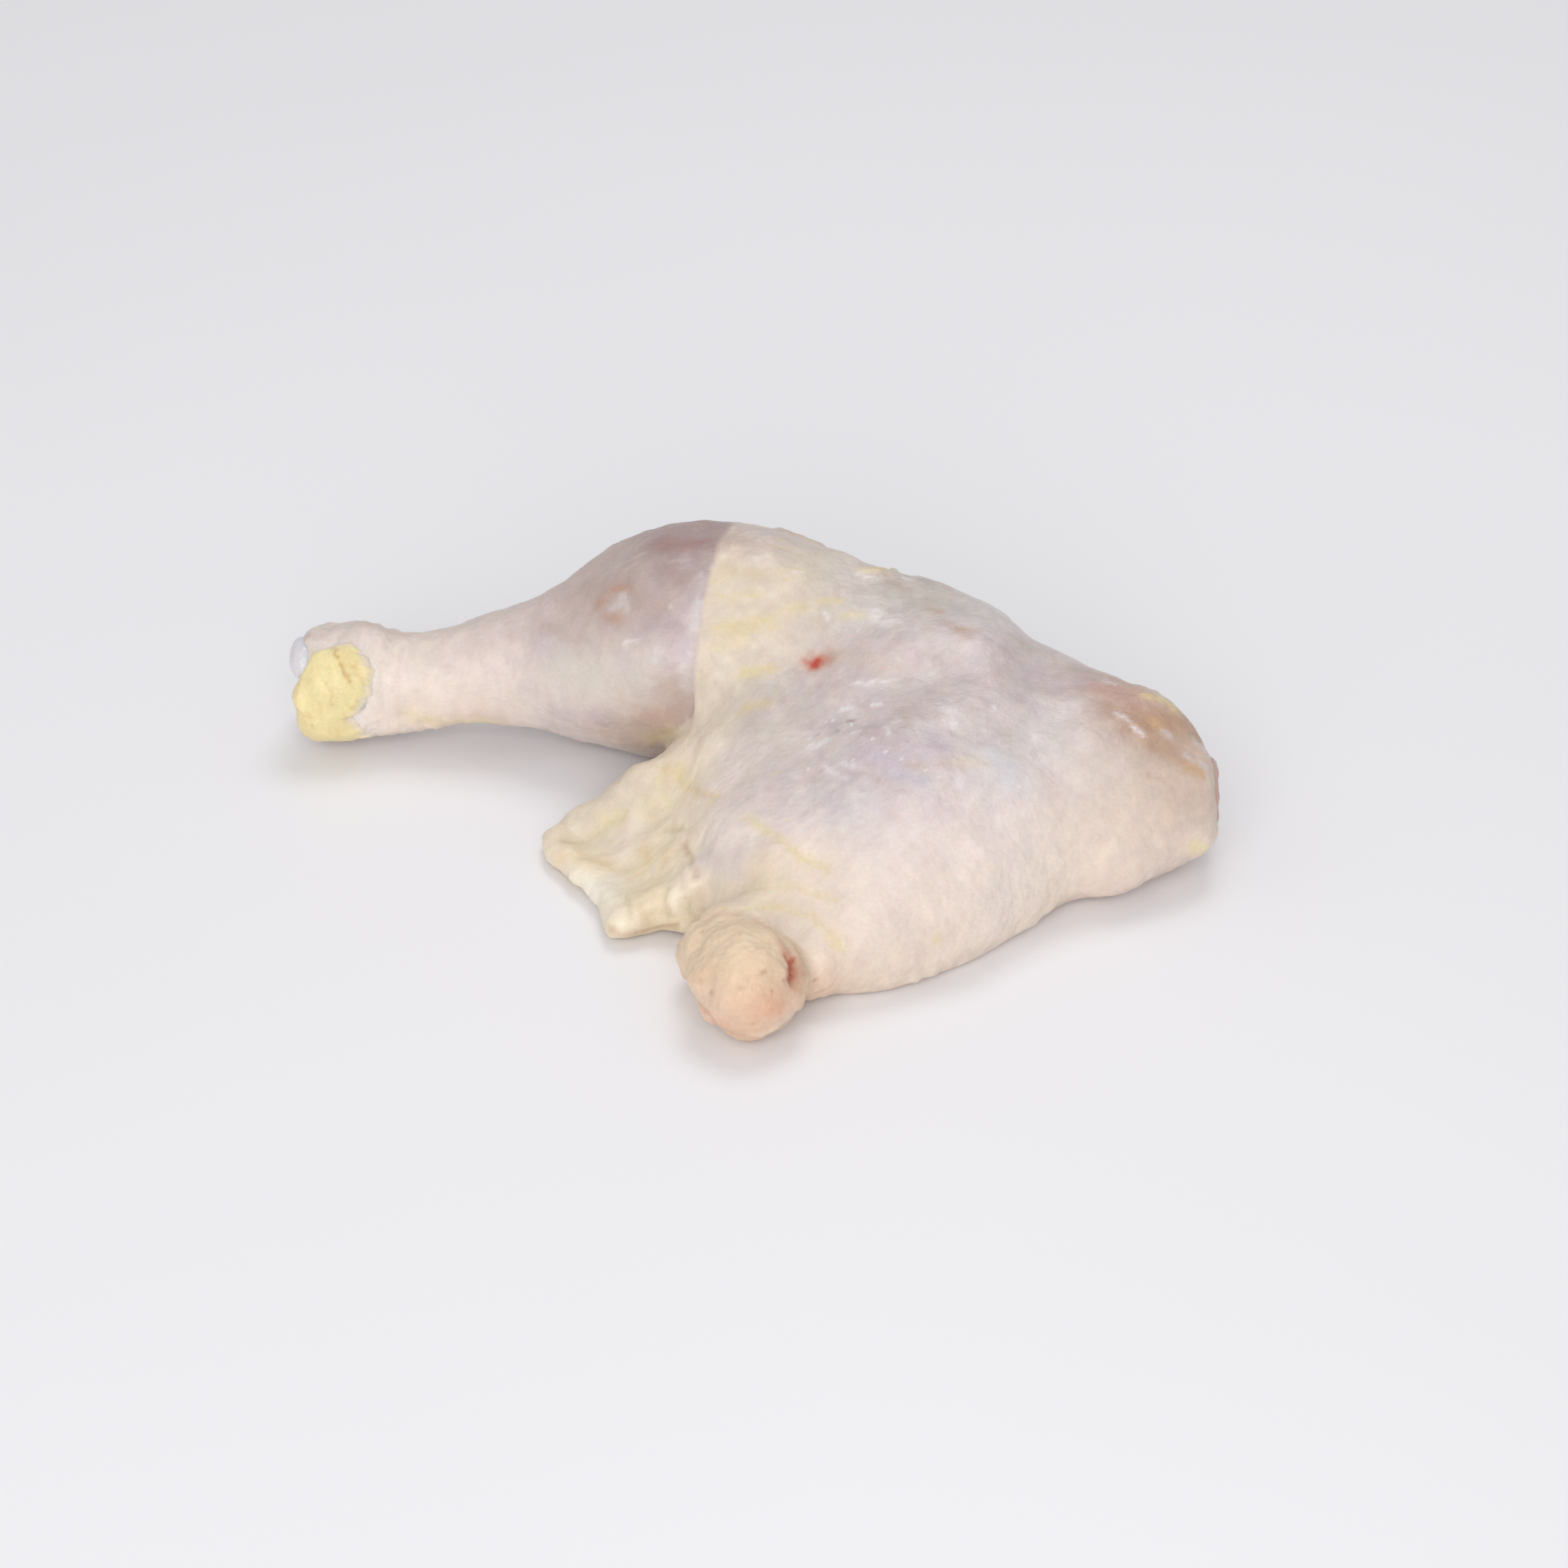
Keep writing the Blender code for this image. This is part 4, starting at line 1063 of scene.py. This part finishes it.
def scale_creases(outer, surface):
    """How deep the creases are at each point, from 0 to 1."""
    shaken = outer + 0.2 * shake(outer, 2.0, (25, 26, 27))
    return np.max([depth * near_line(shaken, surface.line(places), SCALE_CREASE_WIDTH)
                   for places, depth in SCALE_CREASES], axis=0)


def closed_sheet(name, outer, inner, columns, rows):
    """A sheet between two grids of points, closed all round."""
    bm = bmesh.new()
    tops, bottoms = [[bm.verts.new(p) for p in side] for side in (outer, inner)]
    for i in range(columns - 1):
        for j in range(rows - 1):
            a, b = i * rows + j, (i + 1) * rows + j
            bm.faces.new((tops[a], tops[b], tops[b + 1], tops[a + 1]))
            bm.faces.new((bottoms[a], bottoms[a + 1], bottoms[b + 1], bottoms[b]))
    rim = list(range(rows))
    rim += [i * rows + rows - 1 for i in range(1, columns)]
    rim += [(columns - 1) * rows + j for j in range(rows - 2, -1, -1)]
    rim += [i * rows for i in range(columns - 2, 0, -1)]
    for a, b in zip(rim, rim[1:] + rim[:1]):
        bm.faces.new((tops[a], tops[b], bottoms[b], bottoms[a]))
    return mesh_object(name, bm)


def scale_paint(p, angle, crease, wrinkles, ends):
    """Yellow, deeper in patches and creases, paler low down and where the sheet thins out."""
    paint = plain_paint(p, 'yellow')
    tint(paint, 'deep yellow', 0.5 * ramp(-0.2, 1.8, waves(p, 7, 23)))
    tint(paint, 'gold', 0.8 * crease)
    tint(paint, 'gold', 0.2 * ramp(0.5, 2, wrinkles))
    tint(paint, 'warm cream', 0.9 * ramp(2.4, 0.5, ends))
    tint(paint, 'pale yellow', 0.5 * ramp(60, 35, angle))
    return paint


def scale_thickness(angle, along, ends, inner):
    """How far the sheet stands above the skin, before its wrinkles."""
    middle, width, height = SCALE_BULGE
    bulge = height * bell(angle, middle, width) * ramp(HOCK_END + 2.5, HOCK_END, along)
    rise = (SCALE_THICK + SCALE_SUNK) * (1 - np.exp(-ends / SCALE_RIM)) - SCALE_SUNK
    return rise + layered(inner, BROAD_LUMPS) + bulge


def make_scale_skin(surface):
    """A sheet over the hock, from a grid of angles by lengths, that thins out into the skin."""
    columns, rows = SCALE_GRID
    angle = np.repeat(np.linspace(*SCALE_ARC, columns), rows)
    share = np.tile(np.linspace(0, 1, rows), columns)
    *bare_angles, bare = SCALE_BARE
    start = HOCK_END - SCALE_WRAP + bare * ramp(*bare_angles, angle)
    along = start + (scale_edge(angle) - start) * share
    ends = np.minimum.reduce([22 * share, 13 * (1 - share), 0.19 * (angle - SCALE_ARC[0]),
                              0.19 * (SCALE_ARC[1] - angle)])     # mm to the nearest end
    base = scale_base(angle, along)
    inner = settle(base, shank, -SCALE_DEPTH)
    outer = settle(base, shank, 0.0, 6)
    crease = scale_creases(outer, surface)
    wrinkles = waves(inner * (1, 0.35, 0.35), 1.7, 24)
    thick = scale_thickness(angle, along, ends, inner)
    thick += ramp(0.3, 2, ends) * (0.12 * waves(inner, 5, 22) + 0.04 * wrinkles - 0.35 * crease)
    outer = outer + slope_of(outer, shank) * thick[:, None]
    outer[:, 2] = np.maximum(outer[:, 2], 0.02)
    inner[:, 2] = np.maximum(inner[:, 2], 0.05)
    piece = closed_sheet('hock_scale_skin_surface', outer, inner, columns, rows)
    p = np.concatenate([outer, inner])
    set_points(piece.data, p)
    set_finish(piece.data, scale_paint(p, *(np.tile(v, 2) for v in (angle, crease, wrinkles, ends))))
    return piece


def make_cartilage():
    """The rounded end of the shin bone: wet bluish gristle with shallow dents."""
    bm = bmesh.new()
    bmesh.ops.create_icosphere(bm, subdivisions=5, radius=1)
    p = vectors(bm.verts)
    lumps = 1 + layered(p, GRISTLE_LUMPS)
    centre, half = GRISTLE
    p = p * lumps[:, None] * np.array(half) + np.array(centre)
    piece = mesh_object('hock_cartilage_surface', bm)
    set_points(piece.data, p)
    set_finish(piece.data, plain_paint(p, 'gristle'))
    return piece


def make_meat():
    """The cut end of the thigh's flesh, with its fibres."""
    piece = mesh_object('thigh_meat_surface', solid_of('thigh_meat'))
    mesh = even_mesh(piece, MEAT_VOXEL * MM)
    piece.modifiers.clear()
    piece.data = mesh
    p = vectors(mesh.vertices) / MM + MIDDLE - (MEAT_SUNK, 0, 0)
    fibres = 0.06 * waves(p, 2.4, 41) + 0.10 * waves(p * (1, 2.5, 0.6), 5, 42)
    p += vectors(mesh.vertices, 'normal') * (fibres - 0.1)[:, None]
    set_points(mesh, p)
    paint = plain_paint(p, 'flesh')
    tint(paint, 'salmon', 0.15 * ramp(0, 1.5, waves(p, 4, 43)))
    set_finish(mesh, paint)
    return piece


def mount(piece, material, node):
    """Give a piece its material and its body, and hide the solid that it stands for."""
    piece.data.materials.clear()
    piece.data.materials.append(material)
    piece.data.shade_smooth()
    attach(piece, 'root')
    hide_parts(node)


# ================================================================ materials
# Sockets of a Mix node for colours.
MIX_FACTOR, MIX_A, MIX_B, MIX_RESULT = 0, 6, 7, 2
VEIN_TINT = (0.86, 0.74, 0.84, 1)


def node_tree(name):
    material = bpy.data.materials.new(name)
    material.use_nodes = True
    return material, material.node_tree, material.node_tree.nodes['Principled BSDF']


def set_inputs(node, **values):
    for key, value in values.items():
        node.inputs[key.replace('_', ' ')].default_value = value


def add_node(tree, kind, settings=(), **values):
    """A node with its settings and the constant values of its inputs."""
    node = tree.nodes.new(kind)
    for key, value in dict(settings).items():
        setattr(node, key, value)
    set_inputs(node, **values)
    return node


def feed(tree, socket, value):
    """Link a socket to another node's output, or set it to a constant."""
    if isinstance(value, bpy.types.NodeSocket):
        tree.links.new(value, socket)
    else:
        socket.default_value = value


def coordinates(tree):
    """The object's own coordinates."""
    if 'coordinates' not in tree.nodes:
        tree.nodes.new('ShaderNodeTexCoord').name = 'coordinates'
    return tree.nodes['coordinates'].outputs['Object']


def noise(tree, scale, detail=3.0, rough=0.55):
    """Noise texture, scale in bumps per metre."""
    texture = add_node(tree, 'ShaderNodeTexNoise', Scale=scale, Detail=detail, Roughness=rough)
    tree.links.new(coordinates(tree), texture.inputs['Vector'])
    return texture.outputs['Fac']


def spread(tree, value, low, high, out_low, out_high):
    node = add_node(tree, 'ShaderNodeMapRange', From_Min=low, From_Max=high, To_Min=out_low, To_Max=out_high)
    tree.links.new(value, node.inputs['Value'])
    return node.outputs['Result']


def arithmetic(tree, kind, a, b):
    node = add_node(tree, 'ShaderNodeMath', {'operation': kind})
    feed(tree, node.inputs[0], a)
    feed(tree, node.inputs[1], b)
    return node.outputs['Value']


def blend_colours(tree, kind, factor, a, b):
    node = add_node(tree, 'ShaderNodeMix', {'data_type': 'RGBA', 'blend_type': kind})
    feed(tree, node.inputs[MIX_FACTOR], factor)
    feed(tree, node.inputs[MIX_A], a)
    feed(tree, node.inputs[MIX_B], b)
    return node.outputs[MIX_RESULT]


def attribute(tree, name, output):
    return add_node(tree, 'ShaderNodeAttribute', {'attribute_name': name}).outputs[output]


def skin_material(name, mottle, gloss, bump, depth):
    """Moist skin: the painted tone with fine mottling, gloss that follows the wetness, fine wrinkles.

    gloss is the roughness where it is dry and where it is wet; bump and depth of the scattering are metres.
    """
    material, tree, shader = node_tree(name)
    tone = attribute(tree, 'tone', 'Color')
    wet = attribute(tree, 'wet', 'Fac')
    pores = attribute(tree, 'pores', 'Fac')
    patches = spread(tree, noise(tree, 260), 0.3, 0.7, 1 - mottle / 2, 1 + mottle / 2)
    grains = spread(tree, noise(tree, 1500, 2.0), 0.25, 0.75, 1 - mottle / 2, 1 + mottle / 2)
    colour = blend_colours(tree, 'MULTIPLY', 1.0, tone, arithmetic(tree, 'MULTIPLY', patches, grains))
    veins = spread(tree, noise(tree, 420, 4.0, 0.7), 0.45, 0.65, 0.0, 0.11)
    colour = blend_colours(tree, 'MULTIPLY', arithmetic(tree, 'MULTIPLY', veins, wet), colour, VEIN_TINT)
    tree.links.new(colour, shader.inputs['Base Color'])
    rough = spread(tree, wet, 0, 1, *gloss)
    rough = arithmetic(tree, 'ADD', rough, spread(tree, noise(tree, 900), 0.3, 0.7, -0.07, 0.07))
    tree.links.new(rough, shader.inputs['Roughness'])
    set_inputs(shader, Subsurface_Weight=0.35, Subsurface_Radius=(1.0, 0.5, 0.35), Subsurface_Scale=depth,
               Coat_Weight=0.12, Coat_Roughness=0.18)
    wrinkles = arithmetic(tree, 'MULTIPLY', noise(tree, 700, 5.0, 0.6), spread(tree, wet, 0, 1, 0.6, 1.3))
    cells = add_node(tree, 'ShaderNodeTexVoronoi', Scale=620.0)
    tree.links.new(coordinates(tree), cells.inputs['Vector'])
    dots = arithmetic(tree, 'MULTIPLY', cells.outputs['Distance'], pores)
    bumps = add_node(tree, 'ShaderNodeBump', Strength=1.0, Distance=bump)
    tree.links.new(arithmetic(tree, 'ADD', wrinkles, dots), bumps.inputs['Height'])
    tree.links.new(bumps.outputs['Normal'], shader.inputs['Normal'])
    return material


# ================================================================ studio
def make_floor():
    bm = bmesh.new()
    bmesh.ops.create_circle(bm, cap_ends=True, segments=96, radius=FLOOR_RADIUS)
    floor = mesh_object('floor', bm)
    floor.location.z = -FLOOR_DROP
    material, tree, shader = node_tree('floor')
    cloud = spread(tree, noise(tree, 3.0), 0.3, 0.7, 0.0, 1.0)
    tree.links.new(blend_colours(tree, 'MIX', cloud, *FLOOR_COLOURS), shader.inputs['Base Color'])
    set_inputs(shader, Roughness=0.4, Specular_IOR_Level=0.3)
    floor.data.materials.append(material)


def add_softbox(name, where, size, power):
    light = bpy.data.lights.new(name, 'AREA')
    light.size = size
    light.energy = power
    light.color = SOFTBOX_COLOUR
    lamp = bpy.data.objects.new(name, light)
    lamp.location = where
    lamp.rotation_euler = (-Vector(where)).to_track_quat('-Z', 'Y').to_euler()
    bpy.context.scene.collection.objects.link(lamp)


def make_camera():
    camera = bpy.data.objects.new('camera', bpy.data.cameras.new('camera'))
    camera.data.lens = LENS
    camera.data.sensor_width = SENSOR
    camera.location = (EYE - MIDDLE) * MM
    camera.rotation_euler = (math.pi / 2 - ELEVATION, 0, 0)
    bpy.context.scene.collection.objects.link(camera)
    bpy.context.scene.camera = camera


def make_studio():
    scene = bpy.context.scene
    scene.view_settings.view_transform = 'Standard'
    scene.world = bpy.data.worlds.new('studio')
    scene.world.use_nodes = True
    set_inputs(scene.world.node_tree.nodes['Background'], Color=SKY_COLOUR, Strength=SKY_STRENGTH)
    for softbox in SOFTBOXES:
        add_softbox(*softbox)
    make_camera()
    make_floor()


def main():
    skin, surface = make_skin()
    scales, gristle, meat = make_scale_skin(surface), make_cartilage(), make_meat()
    mount(skin, skin_material('skin', mottle=0.07, gloss=(0.52, 0.24), bump=0.00025, depth=0.003),
          'leg_skin')
    mount(scales, skin_material('scale_skin', mottle=0.12, gloss=(0.5, 0.35), bump=0.0003, depth=0.002),
          'hock_scale_skin')
    mount(gristle, skin_material('cartilage', mottle=0.05, gloss=(0.4, 0.18), bump=0.0001, depth=0.004),
          'hock_cartilage')
    mount(meat, skin_material('flesh', mottle=0.16, gloss=(0.45, 0.22), bump=0.0003, depth=0.002),
          'thigh_meat')
    make_studio()


main()
